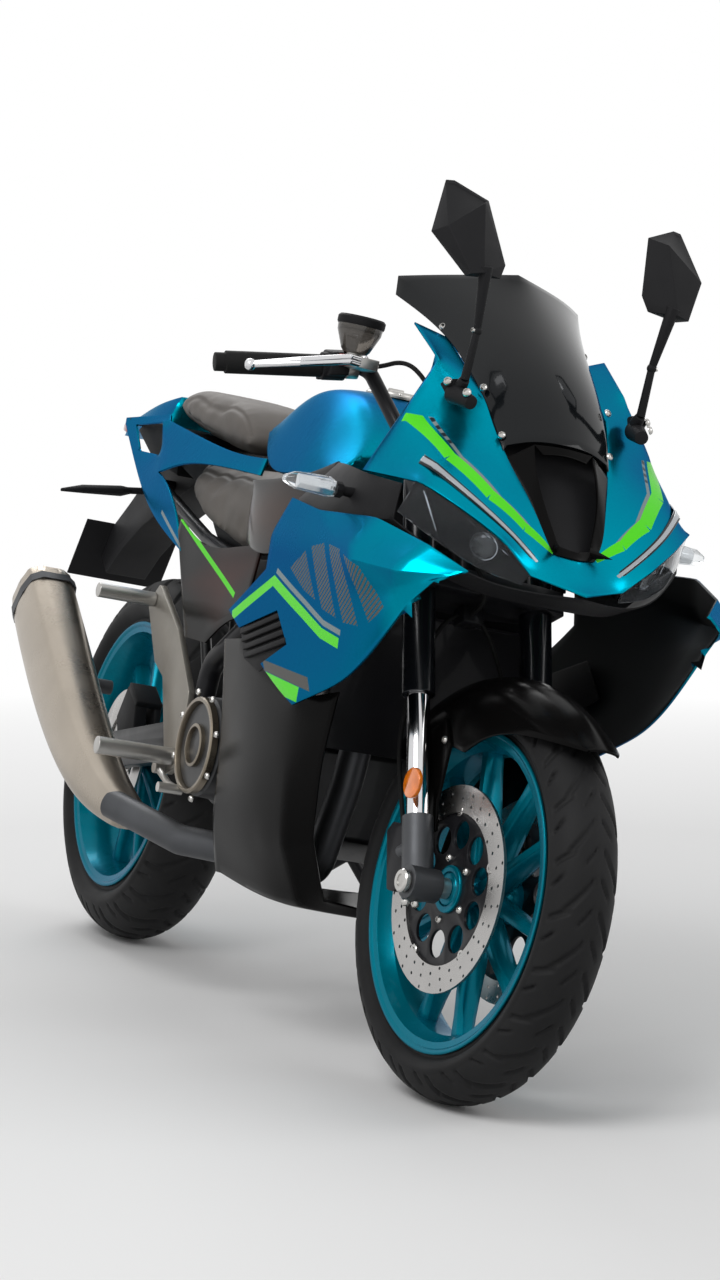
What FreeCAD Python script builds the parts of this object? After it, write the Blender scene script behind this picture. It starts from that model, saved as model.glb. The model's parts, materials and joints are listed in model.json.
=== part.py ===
"""Sport motorcycle leaning on its side stand, in millimetres.

Everything is drawn upright first: x = 0 is the centre plane with the rider's right at -x, the machine
faces -y with y = 0 at the front axle, and z = 0 is the floor. The fork group is drawn pointing straight
ahead. At the end each piece is turned with the steering, leaned over and set down on its tyres.
"""
import FreeCAD, Part
import math
import os

V = FreeCAD.Vector

# Stance
WHEELBASE = 1380.0
RAKE = 24.5
TRAIL = 94.6
LEAN = 11.4
STEER_AT_REST = 5.7

# Wheels and tyres
FRONT_RADIUS = 298.0
FRONT_CROWN = 54.0
REAR_RADIUS = 317.0
REAR_CROWN = 69.0
FLANGE_RADIUS = 232.0
BEAD_SEAT = 14.0
FRONT_FLANGE_X = 45.0
REAR_FLANGE_X = 58.0
FLANGE_WALL = 3.5
RIM_WALL = 7.0
WELL_DEPTH = 9.0
SPOKE_PAIRS = 5
FIRST_PAIR = 41.5
SPOKE_SPLIT_RIM = 15.0
SPOKE_SPLIT_HUB = 24.0
HUB_RADIUS = 30.0
FRONT_HUB_X = 58.0
REAR_HUB_X = 62.0
AXLE_RADIUS = 10.0
AXLE_FIT = 0.05

# Brakes
FRONT_DISC_RADIUS = 148.0
REAR_DISC_RADIUS = 112.0
DISC_BAND = 39.0
DISC_THICKNESS = 4.5
CARRIER_THICKNESS = 5.0
CARRIER_LAP = 5.0

# Chain drive
CHAIN_X = 84.0
CHAIN_PITCH = 15.875
REAR_TEETH = 42
FRONT_TEETH = 14
FRONT_SPROCKET = (765.0, 392.0)
CHAIN_PLATE = 2.2
CHAIN_GAP = 7.0
CHAIN_DEPTH = 14.0
SPROCKET_PLATE = 6.0

# Fork
LEG_X = 100.0
LEG_BEHIND_AXLE = 11.3
OUTER_RADIUS = 24.0
STANCHION_RADIUS = 16.5
OUTER_FROM = 279.0
OUTER_TO = 716.0
STEM_RADIUS = 15.0
STEM_FIT = 0.08
HEAD_RADIUS = 28.0
LOWER_YOKE = (440.0, 474.0)
UPPER_YOKE = (628.0, 650.0)
YOKE_GAP = 0.6
STEER_LIMIT = 28.0

# Swingarm and stand
PIVOT = (838.0, 400.0)
ARM_IN = 97.0
ARM_OUT = 121.0
SPAR_RADIUS = 17.0
SPAR_X = 141.0
PIPE_RADIUS = 24.0
STAND_PIVOT = (136.0, 790.0, 262.0)
STAND_SPREAD = 112.0
STAND_FORWARD = 62.0
STAND_FOLDED = (0.06, 0.99, 0.08)
STAND_EYE = 12.0
STAND_PIN = 8.0

PANEL = 4.0


def rotation(axis, degrees):
    return FreeCAD.Rotation(V(*axis), degrees)


STEER_DIR = V(0, math.sin(math.radians(RAKE)), math.cos(math.radians(RAKE)))
AHEAD_DIR = V(0, -math.cos(math.radians(RAKE)), math.sin(math.radians(RAKE)))
STEER_BASE = V(0, -TRAIL, 0)
FRONT_AXLE = V(0, 0, FRONT_RADIUS)
REAR_AXLE = V(0, WHEELBASE, REAR_RADIUS)
LEG_FOOT = V(0, LEG_BEHIND_AXLE, FRONT_RADIUS)


def fork_point(x, along, ahead=0.0):
    """A point of the fork: x across, distance up the leg from axle height, distance ahead of the leg."""
    return LEG_FOOT + STEER_DIR * along + AHEAD_DIR * ahead + V(x, 0, 0)


STEM_BEHIND = (LEG_FOOT - STEER_BASE).dot(AHEAD_DIR)


# Shapes that the pieces are made from

def box(x, y, z):
    """Block between the two values given for each axis."""
    return Part.makeBox(x[1] - x[0], y[1] - y[0], z[1] - z[0], V(x[0], y[0], z[0]))


def rod(start, end, radius):
    return Part.makeCylinder(radius, (end - start).Length, start, end - start)


def pipe(start, end, radius, bore):
    return rod(start, end, radius).cut(rod(start, end, bore))


def cross_rod(x0, x1, y, z, radius):
    """Rod along x."""
    return rod(V(x0, y, z), V(x1, y, z), radius)


def corner_arc(before, corner, after, radius):
    """Start, middle and end of the arc that rounds a corner."""
    back = (before - corner).normalize()
    on = (after - corner).normalize()
    half = back.getAngle(on) / 2
    reach = radius / math.tan(half)
    inward = (back + on).normalize()
    middle = corner + inward * (radius / math.sin(half) - radius)
    return corner + back * reach, middle, corner + on * reach


def rounded(points, radius, closed=True):
    """Wire through the points with its corners rounded."""
    count = len(points)
    stops = []
    for i, point in enumerate(points):
        if closed or 0 < i < count - 1:
            stops.append(corner_arc(points[i - 1], point, points[(i + 1) % count], radius))
        else:
            stops.append((point, None, point))
    edges = []
    for i, (start, middle, end) in enumerate(stops):
        if middle is not None:
            edges.append(Part.Arc(start, middle, end).toShape())
        if closed or i < count - 1:
            following = stops[(i + 1) % count][0]
            if (following - end).Length > 0.01:
                edges.append(Part.LineSegment(end, following).toShape())
    return Part.Wire(edges)


def tube(points, radius, bend):
    """Round bar along straight runs joined by arcs."""
    points = [V(*p) for p in points]
    path = rounded(points, bend, False) if len(points) > 2 else Part.Wire(
        [Part.LineSegment(points[0], points[1]).toShape()])
    ring = Part.Wire([Part.makeCircle(radius, points[0], points[1] - points[0])])
    return path.makePipeShell([ring], True, False)


def slab(outline, normal, thickness, radius=0.0):
    """Plate: an outline of points pushed along its normal."""
    points = [V(*p) for p in outline]
    wire = rounded(points, radius) if radius else Part.makePolygon(points + [points[0]])
    return Part.Face(wire).extrude(V(*normal) * thickness)


def lofted(stations, ruled=False):
    """Body through upright sections: y, low z, high z, low half width, high half width, corner radius."""
    wires = []
    for y, low, high, wide_low, wide_high, radius in stations:
        corners = [V(-wide_low, y, low), V(wide_low, y, low), V(wide_high, y, high), V(-wide_high, y, high)]
        wires.append(rounded(corners, radius))
    return Part.makeLoft(wires, True, ruled)


def grid(rows):
    """Facets between neighbouring rows of points."""
    facets = []
    for upper, lower in zip(rows, rows[1:]):
        for i in range(len(upper) - 1):
            facets.append([upper[i], upper[i + 1], lower[i + 1], lower[i]])
    return facets


def mirrored_facets(facets):
    return [[(-x, y, z) for x, y, z in reversed(facet)] for facet in facets]


def skin(facets, thickness, inside):
    """Thin closed panel: the outer facets, the same set back by the thickness, and the edges between."""
    corners, numbers, triangles = [], {}, []

    def number(point):
        key = tuple(round(value, 1) for value in point)
        if key not in numbers:
            numbers[key] = len(corners)
            corners.append(V(*point))
        return numbers[key]

    for facet in facets:
        ring = [number(point) for point in facet]
        for triple in ([ring[0], ring[1], ring[2]], [ring[0], ring[2], ring[3]] if len(ring) == 4 else []):
            if len(set(triple)) == 3:
                triangles.append(triple)
    normals = [V(0, 0, 0) for _ in corners]
    outward = 0.0
    for a, b, c in triangles:
        normal = (corners[b] - corners[a]).cross(corners[c] - corners[a])
        outward += normal.dot((corners[a] + corners[b] + corners[c]) * (1 / 3) - V(*inside))
        for i in (a, b, c):
            normals[i] += normal
    if outward < 0:
        triangles = [[a, c, b] for a, b, c in triangles]
        normals = [-normal for normal in normals]
    back = [corner - normal.normalize() * thickness for corner, normal in zip(corners, normals)]
    faces, used = [], set()
    for a, b, c in triangles:
        faces.append([corners[a], corners[b], corners[c]])
        faces.append([back[a], back[c], back[b]])
        used.update(((a, b), (b, c), (c, a)))
    for a, b in used:
        if (b, a) not in used:
            faces.append([corners[b], corners[a], back[a]])
            faces.append([corners[b], back[a], back[b]])
    return closed_solid(faces)


def closed_solid(faces):
    """Solid bounded by the given flat faces."""
    shell = Part.Shell([Part.Face(Part.makePolygon(points + [points[0]])) for points in faces])
    solid = Part.Solid(shell)
    if solid.Volume < 0:
        solid.reverse()
    return solid


def mirrored(shape):
    return shape.mirror(V(0, 0, 0), V(1, 0, 0))


def both_sides(*shapes):
    """The given right-hand solids and their mirror images, as separate solids."""
    return Part.Compound([s for shape in shapes for s in (shape, mirrored(shape))])


def joined(first, *others):
    return first.multiFuse(list(others)).removeSplitter()


# Wheels

def around_x(outline, centre):
    """Turn an outline of (x, radius) points, or edges, about the axle."""
    face = Part.Face(outline if isinstance(outline, Part.Wire) else Part.makePolygon(
        [V(x, 0, r) for x, r in outline + [outline[0]]]))
    return face.revolve(V(0, 0, 0), V(1, 0, 0), 360).translated(centre)


def tyre(centre, radius, crown, flange_x):
    bead = flange_x - FLANGE_WALL - 0.2
    seat = FLANGE_RADIUS - BEAD_SEAT
    middle = radius - crown
    shoulder = V(crown, 0, middle)
    hip = V(bead, 0, FLANGE_RADIUS + 1)
    swell = V((crown + bead) / 2 + 2.5, 0, (middle + FLANGE_RADIUS + 1) / 2 - 1)

    def left(p):
        return V(-p.x, 0, p.z)

    edges = [
        Part.LineSegment(V(-bead, 0, seat), left(hip)).toShape(),
        Part.Arc(left(hip), left(swell), left(shoulder)).toShape(),
        Part.Arc(left(shoulder), V(0, 0, radius), shoulder).toShape(),
        Part.Arc(shoulder, swell, hip).toShape(),
        Part.LineSegment(hip, V(bead, 0, seat)).toShape(),
        Part.LineSegment(V(bead, 0, seat), V(-bead, 0, seat)).toShape(),
    ]
    return around_x(Part.Wire(edges), centre)


def rim(centre, flange_x, hub_x, bore):
    seat = FLANGE_RADIUS - BEAD_SEAT - 0.2
    inner = seat - RIM_WALL
    half = [(flange_x, FLANGE_RADIUS), (flange_x, seat - 2), (flange_x * 0.72, inner),
            (flange_x * 0.5, inner - WELL_DEPTH)]
    barrel = [(-flange_x + FLANGE_WALL, seat), (-flange_x + FLANGE_WALL, FLANGE_RADIUS)]
    barrel += [(-x, r) for x, r in half] + half[::-1]
    barrel += [(flange_x - FLANGE_WALL, FLANGE_RADIUS), (flange_x - FLANGE_WALL, seat)]
    pieces = [around_x(barrel, V(0, 0, 0))]
    deep = inner - WELL_DEPTH + 3
    for pair in range(SPOKE_PAIRS):
        for side in (-1, 1):
            at_hub = FIRST_PAIR + 360 / SPOKE_PAIRS * pair + side * SPOKE_SPLIT_HUB
            at_rim = FIRST_PAIR + 360 / SPOKE_PAIRS * pair + side * SPOKE_SPLIT_RIM
            pieces.append(spoke(at_hub, HUB_RADIUS * 0.7, at_rim, deep, hub_x))
    hub = joined(rod(V(-hub_x, 0, 0), V(hub_x, 0, 0), HUB_RADIUS), *pieces)
    return hub.cut(rod(V(-hub_x - 1, 0, 0), V(hub_x + 1, 0, 0), bore)).translated(centre)


def spoke(angle_in, radius_in, angle_out, radius_out, hub_x):
    """Tapered spoke between two points of the wheel, given as clock angle and radius."""
    ends = []
    for angle, radius in ((angle_in, radius_in), (angle_out, radius_out)):
        turn = math.radians(angle)
        ends.append(V(0, -radius * math.sin(turn), radius * math.cos(turn)))
    along = (ends[1] - ends[0]).normalize()
    across = V(1, 0, 0).cross(along)
    wires = []
    for end, half_wide, half_deep in ((ends[0], 12.0, hub_x * 0.42), (ends[1], 9.0, hub_x * 0.24)):
        wires.append(Part.makePolygon([
            end + across * (a * half_wide) + V(d * half_deep, 0, 0)
            for a, d in ((-1, -0.6), (-0.6, -1), (0.6, -1), (1, -0.6), (1, 0.6), (0.6, 1), (-0.6, 1),
                         (-1, 0.6), (-1, -0.6))]))
    return Part.makeLoft(wires, True, True)


def disc(centre, radius, x):
    ring = pipe(V(x, 0, 0), V(x + DISC_THICKNESS, 0, 0), radius, radius - DISC_BAND)
    return ring.translated(centre)


def carrier(centre, radius, x):
    """Plate that carries a brake disc: a ring with round windows."""
    outer = radius - DISC_BAND + CARRIER_LAP
    plate = pipe(V(x, 0, 0), V(x + CARRIER_THICKNESS, 0, 0), outer, HUB_RADIUS + 0.2)
    middle = (outer + HUB_RADIUS) / 2 + 6
    window = (outer - HUB_RADIUS) / 4.2
    for i in range(10):
        turn = math.radians(36 * i)
        hole = cross_rod(x - 1, x + CARRIER_THICKNESS + 1, middle * math.sin(turn),
                         middle * math.cos(turn), window)
        plate = plate.cut(hole)
    return plate.translated(centre)


def front_wheel():
    x = FRONT_HUB_X - CARRIER_THICKNESS - 4
    right = disc(FRONT_AXLE, FRONT_DISC_RADIUS, -x - CARRIER_THICKNESS - DISC_THICKNESS)
    plate = carrier(FRONT_AXLE, FRONT_DISC_RADIUS, -x - CARRIER_THICKNESS)
    return {
        "front_tyre": tyre(FRONT_AXLE, FRONT_RADIUS, FRONT_CROWN, FRONT_FLANGE_X),
        "front_rim": rim(FRONT_AXLE, FRONT_FLANGE_X, FRONT_HUB_X, AXLE_RADIUS + AXLE_FIT),
        "front_discs": both_sides(right),
        "front_disc_carriers": both_sides(plate),
    }


def sprocket_radius(teeth):
    return CHAIN_PITCH / 2 / math.sin(math.pi / teeth)


def rear_sprocket():
    pitch = sprocket_radius(REAR_TEETH)
    points = []
    for i in range(REAR_TEETH):
        for step, radius in ((0.0, pitch - 5.2), (0.28, pitch - 3.0), (0.42, pitch + 2.6), (0.58, pitch + 2.6),
                             (0.72, pitch - 3.0)):
            turn = 2 * math.pi * (i + step) / REAR_TEETH
            points.append(V(0, radius * math.sin(turn), radius * math.cos(turn)))
    half = SPROCKET_PLATE / 2
    plate = Part.Face(Part.makePolygon(points + [points[0]])).extrude(V(SPROCKET_PLATE, 0, 0))
    plate.translate(V(CHAIN_X - half, 0, 0))
    plate = plate.cut(cross_rod(CHAIN_X - 10, CHAIN_X + 10, 0, 0, 22.0))
    for i in range(6):
        turn = math.pi / 3 * i
        plate = plate.cut(cross_rod(CHAIN_X - 10, CHAIN_X + 10, 72 * math.sin(turn), 72 * math.cos(turn), 17.0))
    cush = pipe(V(REAR_HUB_X + 0.2, 0, 0), V(CHAIN_X - half, 0, 0), 50.0, 22.0)
    return joined(plate, cush).translated(REAR_AXLE)


def rear_wheel():
    x = REAR_HUB_X - CARRIER_THICKNESS - 2
    return {
        "rear_tyre": tyre(REAR_AXLE, REAR_RADIUS, REAR_CROWN, REAR_FLANGE_X),
        "rear_rim": rim(REAR_AXLE, REAR_FLANGE_X, REAR_HUB_X, AXLE_RADIUS + AXLE_FIT),
        "rear_disc": Part.Compound([
            disc(REAR_AXLE, REAR_DISC_RADIUS, -x - CARRIER_THICKNESS - DISC_THICKNESS),
            carrier(REAR_AXLE, REAR_DISC_RADIUS, -x - CARRIER_THICKNESS)]),
        "rear_sprocket": rear_sprocket(),
    }


# Fork group

def fork_leg_parts():
    """Outer tube, stanchion and axle foot of the right leg."""
    outer = rod(fork_point(-LEG_X, OUTER_FROM), fork_point(-LEG_X, OUTER_TO), OUTER_RADIUS)
    outer = outer.cut(rod(fork_point(-LEG_X, OUTER_FROM), fork_point(-LEG_X, OUTER_FROM + 60),
                          STANCHION_RADIUS + 0.2))
    stanchion = rod(fork_point(-LEG_X, 45), fork_point(-LEG_X, OUTER_FROM + 60), STANCHION_RADIUS)
    foot = joined(rod(fork_point(-LEG_X, -22), fork_point(-LEG_X, 96), 22.5),
                  cross_rod(-124, -77, 0, FRONT_RADIUS, 24.0))
    ear = rod(fork_point(-LEG_X + 4, 60, -18), fork_point(-LEG_X + 4, 60, -52), 9.0)
    foot = joined(foot, ear)
    foot = foot.cut(rod(fork_point(-LEG_X, 45), fork_point(-LEG_X, 100), STANCHION_RADIUS + 0.1))
    foot = foot.cut(cross_rod(-130, -70, 0, FRONT_RADIUS, AXLE_RADIUS + 0.1))
    return outer, stanchion, foot


def yokes():
    parts = []
    stem_low = fork_point(0, LOWER_YOKE[0], -STEM_BEHIND)
    stem_high = fork_point(0, UPPER_YOKE[1] + 10, -STEM_BEHIND)
    for low, high in (LOWER_YOKE, UPPER_YOKE):
        outline = [fork_point(x, low, a) for x, a in (
            (-LEG_X - 34, -26), (-LEG_X - 34, 30), (-LEG_X + 20, 34), (LEG_X - 20, 34), (LEG_X + 34, 30),
            (LEG_X + 34, -26), (34, -STEM_BEHIND - 30), (-34, -STEM_BEHIND - 30))]
        parts.append(slab([(p.x, p.y, p.z) for p in outline], STEER_DIR, high - low, 9.0))
    clamps = joined(parts[0], parts[1], rod(stem_low, stem_high, STEM_RADIUS))
    for x in (-LEG_X, LEG_X):
        clamps = clamps.cut(rod(fork_point(x, LOWER_YOKE[0] - 5), fork_point(x, UPPER_YOKE[1] + 5), OUTER_RADIUS))
    return clamps


BAR_CLAMP = (656.0, 690.0)
GRIP_IN = V(-212, 436, 991)
GRIP_OUT = V(-350, 470, 963)
BAR_RADIUS = 11.0
GRIP_RADIUS = 17.0


def bar_points():
    grip = (GRIP_OUT - GRIP_IN).normalize()
    start = fork_point(-LEG_X, sum(BAR_CLAMP) / 2, -OUTER_RADIUS - 6)
    elbow = GRIP_IN - grip * 72
    return start, elbow, GRIP_OUT - grip * 4


def handlebar():
    start, elbow, end = bar_points()
    bar = tube([start, elbow, end], BAR_RADIUS, 26.0)
    clamp = pipe(fork_point(-LEG_X, BAR_CLAMP[0]), fork_point(-LEG_X, BAR_CLAMP[1]), OUTER_RADIUS + 9,
                 OUTER_RADIUS)
    return joined(clamp, bar).cut(rod(fork_point(-LEG_X, BAR_CLAMP[0] - 9), fork_point(-LEG_X, BAR_CLAMP[1] + 9),
                                      OUTER_RADIUS))


def grip():
    return pipe(GRIP_IN, GRIP_OUT, GRIP_RADIUS, BAR_RADIUS).fuse(
        rod(GRIP_OUT, GRIP_OUT + (GRIP_OUT - GRIP_IN).normalize() * 16, 14.0)).removeSplitter()


def switch_block(cup_height=0.0):
    along = (GRIP_OUT - GRIP_IN).normalize()
    block = pipe(GRIP_IN - along * 50, GRIP_IN - along * 1, 24.0, BAR_RADIUS)
    base = GRIP_IN - along * 58
    body = slab([tuple(base + V(x, -66, z)) for x, z in ((-14, -12), (38, -12), (38, 22), (-14, 22))],
                (0, 1, 0), 46.0, 6.0)
    pieces = [block, body]
    if cup_height:
        pieces.append(rod(base + V(6, -46, 20), base + V(6, -46, 20 + cup_height), 20.0))
    return joined(*pieces).cut(handlebar())


def hand_lever():
    along = (GRIP_OUT - GRIP_IN).normalize()
    pivot = GRIP_IN - along * 34 + V(0, -84, 4)
    return tube([pivot, pivot + along * 60 + V(0, -6, 0), GRIP_OUT + V(8, -62, 0)], 6.5, 40.0)


FENDER_GAP = 18.0
FENDER_WALL = 3.5


def front_fender():
    """Band over the tyre, with a blade on each side down to the fork foot."""
    rows = []
    bow = FRONT_CROWN + FENDER_GAP
    for turn, half in ((-46, 14), (-36, 46), (-18, 64), (6, 66), (28, 66), (46, 60)):
        a = math.radians(turn)
        row = []
        for share in (-1.0, -0.8, -0.4, 0.0, 0.4, 0.8, 1.0):
            across = share * half
            r = FRONT_RADIUS - FRONT_CROWN + math.sqrt(bow ** 2 - across ** 2)
            row.append((across, r * math.sin(a), FRONT_RADIUS + r * math.cos(a)))
        rows.append(row)
    band = skin(grid(rows), FENDER_WALL, tuple(FRONT_AXLE))
    return band


def caliper():
    """Brake caliper behind the right leg, straddling its disc."""
    centre = fork_point(-FRONT_HUB_X - 6, 62, -74)
    low = centre - STEER_DIR * 52
    outline = [low + AHEAD_DIR * a + STEER_DIR * s for a, s in ((-26, 8), (-8, 0), (24, 12), (24, 92), (-8, 104),
                                                              (-26, 96))]
    block = slab([(p.x - 26, p.y, p.z) for p in outline], (1, 0, 0), 46.0, 6.0)
    slot = pipe(V(-FRONT_HUB_X - 1.5, 0, FRONT_RADIUS), V(-FRONT_HUB_X + 9.5 + 1.5, 0, FRONT_RADIUS),
                FRONT_DISC_RADIUS + 6, 20)
    return block.cut(slot).cut(fork_leg_parts()[2])


def fork_group():
    outer, stanchion, foot = fork_leg_parts()
    side = cross_rod(-FRONT_HUB_X - 0.6, -76.8, 0, FRONT_RADIUS, 15.0)
    axle = joined(cross_rod(-128, 128, 0, FRONT_RADIUS, AXLE_RADIUS), cross_rod(-134, -124.2, 0, FRONT_RADIUS, 14.0),
                  side, mirrored(side))
    reflector = cross_rod(-LEG_X - 29, -LEG_X - 22.8, 41, 432, 22.0)
    return {
        "fork_outer_tubes": both_sides(outer),
        "fork_stanchions": both_sides(stanchion),
        "fork_feet": both_sides(foot),
        "fork_yokes": yokes(),
        "handlebars": both_sides(handlebar()),
        "grips": both_sides(grip()),
        "switchgear": Part.Compound([switch_block(38.0), mirrored(switch_block())]),
        "hand_levers": both_sides(hand_lever()),
        "front_fender": front_fender(),
        "front_calipers": both_sides(caliper()),
        "fork_reflectors": both_sides(reflector),
        "front_axle": axle,
    }


# Frame, engine and running gear

def main_frame():
    head_low = fork_point(0, LOWER_YOKE[1] + YOKE_GAP, -STEM_BEHIND)
    head_high = fork_point(0, UPPER_YOKE[0] - YOKE_GAP, -STEM_BEHIND)
    head = rod(head_low, head_high, HEAD_RADIUS)
    middle = head_low + (head_high - head_low) * 0.45
    y, z = PIVOT
    spar = tube([(-10, middle.y + 4, middle.z), (-118, 420, 712), (-140, 620, 640), (-SPAR_X, y - 12, 520),
                 (-SPAR_X, y, z)], SPAR_RADIUS, 55.0)
    boss = cross_rod(-156, -ARM_OUT - 0.5, y, z, 30.0)
    rail = tube([(-136, 760, 566), (-96, 900, 690), (-84, 1100, 712), (-66, 1440, 790)], 11.0, 60.0)
    brace = tube([(-138, y - 6, 480), (-100, 1020, 610), (-84, 1110, 700)], 9.0, 60.0)
    loop = cross_rod(-66, 66, 1432, 788, 9.0)
    cross = cross_rod(-128, 128, 700, 588, 12.0)
    halves = [spar, boss, rail, brace]
    pivot_bolt = cross_rod(-157, 157, y, z, AXLE_RADIUS)
    stand = V(*STAND_PIVOT)
    inner = stand - STAND_AXIS * 50
    hanger = tube([(SPAR_X, y, z), (118, 818, 325), tuple(inner)], 9.0, 20.0)
    pin = rod(inner, stand + STAND_AXIS * (STAND_EYE + 4), STAND_PIN)
    collar = rod(inner, stand - STAND_AXIS * (STAND_EYE + 0.4), 15.0)
    frame = joined(head, loop, cross, pivot_bolt, hanger, pin, collar, *halves, *[mirrored(h) for h in halves])
    return frame.cut(rod(head_low - STEER_DIR * 5, head_high + STEER_DIR * 5, STEM_RADIUS + STEM_FIT))


def engine():
    case = slab([(-108, y, z) for y, z in ((520, 300), (600, 262), (760, 262), (800, 320), (800, 470),
                                          (740, 520), (560, 500), (520, 430))], (1, 0, 0), 216.0, 12.0)
    head = slab([(-92, y, z) for y, z in ((440, 505), (520, 440), (600, 480), (560, 660), (470, 690),
                                         (420, 640))], (1, 0, 0), 184.0, 10.0)
    block = joined(case, head)
    room = box((CHAIN_X - 14, 110), (FRONT_SPROCKET[0] - 55, 900),
               (FRONT_SPROCKET[1] - 52, FRONT_SPROCKET[1] + 60))
    y, z = FRONT_SPROCKET
    shaft = cross_rod(CHAIN_X - 16, CHAIN_X + 12, y, z, 13.0)
    wheel = cross_rod(CHAIN_X - SPROCKET_PLATE / 2, CHAIN_X + SPROCKET_PLATE / 2, y, z,
                      sprocket_radius(FRONT_TEETH) + 1)
    return joined(block.cut(room), shaft, wheel)


CLUTCH = (683.0, 397.0)
CLUTCH_RADIUS = 80.0


def engine_covers():
    y, z = CLUTCH
    clutch = around_x([(-108.2, 0.1), (-108.2, CLUTCH_RADIUS + 12), (-150, CLUTCH_RADIUS + 6),
                       (-152, CLUTCH_RADIUS), (-186, CLUTCH_RADIUS - 2), (-196, CLUTCH_RADIUS - 14),
                       (-198, 0.1)], V(0, y, z))
    stator = around_x([(108.2, 0.1), (108.2, CLUTCH_RADIUS - 4), (140, CLUTCH_RADIUS - 8),
                       (150, CLUTCH_RADIUS - 20), (150, 0.1)], V(0, y - 40, z - 8))
    return Part.Compound([clutch, stator])


def radiator():
    low, high = V(0, 352, 452), V(0, 318, 668)
    up = (high - low).normalize()
    out = V(1, 0, 0).cross(up)
    frame = slab([tuple(low + V(x, 0, 0) + up * s) for x, s in ((-150, 0), (150, 0), (150, 215), (-150, 215))],
                 tuple(out), 26.0)
    for i in range(13):
        cut = slab([tuple(low + V(x, 0, 0) + up * (12 + 15 * i + s) - out * 1) for x, s in (
            (-136, 0), (136, 0), (136, 10), (-136, 10))], tuple(out), 8.0)
        frame = frame.cut(cut)
    return frame


def swingarm():
    y, z = PIVOT
    drop = z - REAR_RADIUS
    outline = [(ARM_IN, y - 34, z - 6), (ARM_IN, y - 10, z + 34), (ARM_IN, y + 40, z + 34),
               (ARM_IN, WHEELBASE - 40, REAR_RADIUS + 30), (ARM_IN, WHEELBASE + 62, REAR_RADIUS + 26),
               (ARM_IN, WHEELBASE + 62, REAR_RADIUS - 26), (ARM_IN, WHEELBASE - 40, REAR_RADIUS - 30),
               (ARM_IN, y + 60, z - 40), (ARM_IN, y - 10, z - 34)]
    left = slab(outline, (1, 0, 0), ARM_OUT - ARM_IN, 10.0)
    right = mirrored(left)
    bridge_y = y + 118
    bridge = box((-ARM_IN - 2, ARM_IN + 2), (bridge_y - 26, bridge_y + 20), (z - drop * 0.25 - 26, z - drop * 0.25 + 26))
    arm = joined(left, right, bridge)
    arm = arm.cut(cross_rod(-200, 200, y, z, AXLE_RADIUS + 0.1))
    return arm.cut(cross_rod(-200, 200, WHEELBASE, REAR_RADIUS, AXLE_RADIUS + 0.1))


def rear_axle():
    x = REAR_HUB_X + 0.6
    right = cross_rod(-x, -ARM_IN + 0.2, WHEELBASE, REAR_RADIUS, 15.0)
    left = cross_rod(CHAIN_X + SPROCKET_PLATE / 2 + 0.6, ARM_IN - 0.2, WHEELBASE, REAR_RADIUS, 15.0)
    spindle = cross_rod(-ARM_OUT - 14, ARM_OUT + 14, WHEELBASE, REAR_RADIUS, AXLE_RADIUS)
    nuts = [cross_rod(s * (ARM_OUT + 0.2), s * (ARM_OUT + 12), WHEELBASE, REAR_RADIUS, 16.0) for s in (-1, 1)]
    return joined(spindle, right, left, *nuts)


def rear_shock():
    return tube([(0, 930, 430), (0, 880, 640)], 26.0, 0)


def chain():
    """Fixed loop: two rows of side plates, with the sprocket teeth free to pass between them."""
    rear, front = sprocket_radius(REAR_TEETH), sprocket_radius(FRONT_TEETH)
    centre = V(0, FRONT_SPROCKET[0], FRONT_SPROCKET[1])
    line = REAR_AXLE - centre
    line.x = 0
    tilt = math.asin((rear - front) / line.Length)
    base = math.atan2(line.z, line.y)

    def loop(offset):
        wires = []
        ends = {}
        for side in (1, -1):
            normal = base + side * (math.pi / 2 + tilt)
            n = V(0, math.cos(normal), math.sin(normal))
            ends[side] = (centre + n * (front + offset), V(0, WHEELBASE, REAR_RADIUS) + n * (rear + offset))
        nose = centre - line.normalize() * (front + offset)
        heel = V(0, WHEELBASE, REAR_RADIUS) + line * (rear + offset)
        wires.append(Part.LineSegment(ends[1][0], ends[1][1]).toShape())
        wires.append(Part.Arc(ends[1][1], heel, ends[-1][1]).toShape())
        wires.append(Part.LineSegment(ends[-1][1], ends[-1][0]).toShape())
        wires.append(Part.Arc(ends[-1][0], nose, ends[1][0]).toShape())
        return Part.Wire(wires)

    band = Part.Face([loop(CHAIN_DEPTH / 2), loop(-CHAIN_DEPTH / 2)])
    rows = []
    for x in (CHAIN_X - CHAIN_GAP / 2 - CHAIN_PLATE, CHAIN_X + CHAIN_GAP / 2):
        row = band.extrude(V(CHAIN_PLATE, 0, 0))
        row.translate(V(x, 0, 0))
        rows.append(row)
    return Part.Compound(rows)


def exhaust_pipe():
    pipe_run = tube([(-50, 440, 585), (-50, 392, 560), (-60, 394, 400), (-64, 440, 254), (-64, 640, 246),
                     (-160, 770, 240), (-232, 915, 268)], PIPE_RADIUS, 40.0)
    return pipe_run.cut(engine()).cut(muffler())


MUFFLER = ((-232, 915, 268, 30, 30), (-240, 985, 312, 46, 62), (-246, 1120, 400, 52, 80),
           (-250, 1290, 500, 54, 76), (-252, 1412, 572, 50, 66))


def muffler():
    """Sections: x, y, z of the middle, half width and half height."""
    wires = []
    axis = (V(*MUFFLER[-1][:3]) - V(*MUFFLER[0][:3])).normalize()
    side = V(0, 0, 1).cross(axis).normalize()
    up = axis.cross(side)
    for x, y, z, wide, tall in MUFFLER:
        middle = V(x, y, z)
        corners = [middle + side * (a * wide) + up * (b * tall) for a, b in ((-1, -0.7), (-0.5, -1), (0.5, -1),
                                                                         (1, -0.6), (0.8, 0.9), (-0.8, 0.9))]
        wires.append(rounded(corners, wide * 0.3))
    return Part.makeLoft(wires, True, False)


# Body panels: right-hand points, mirrored for the left

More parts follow.
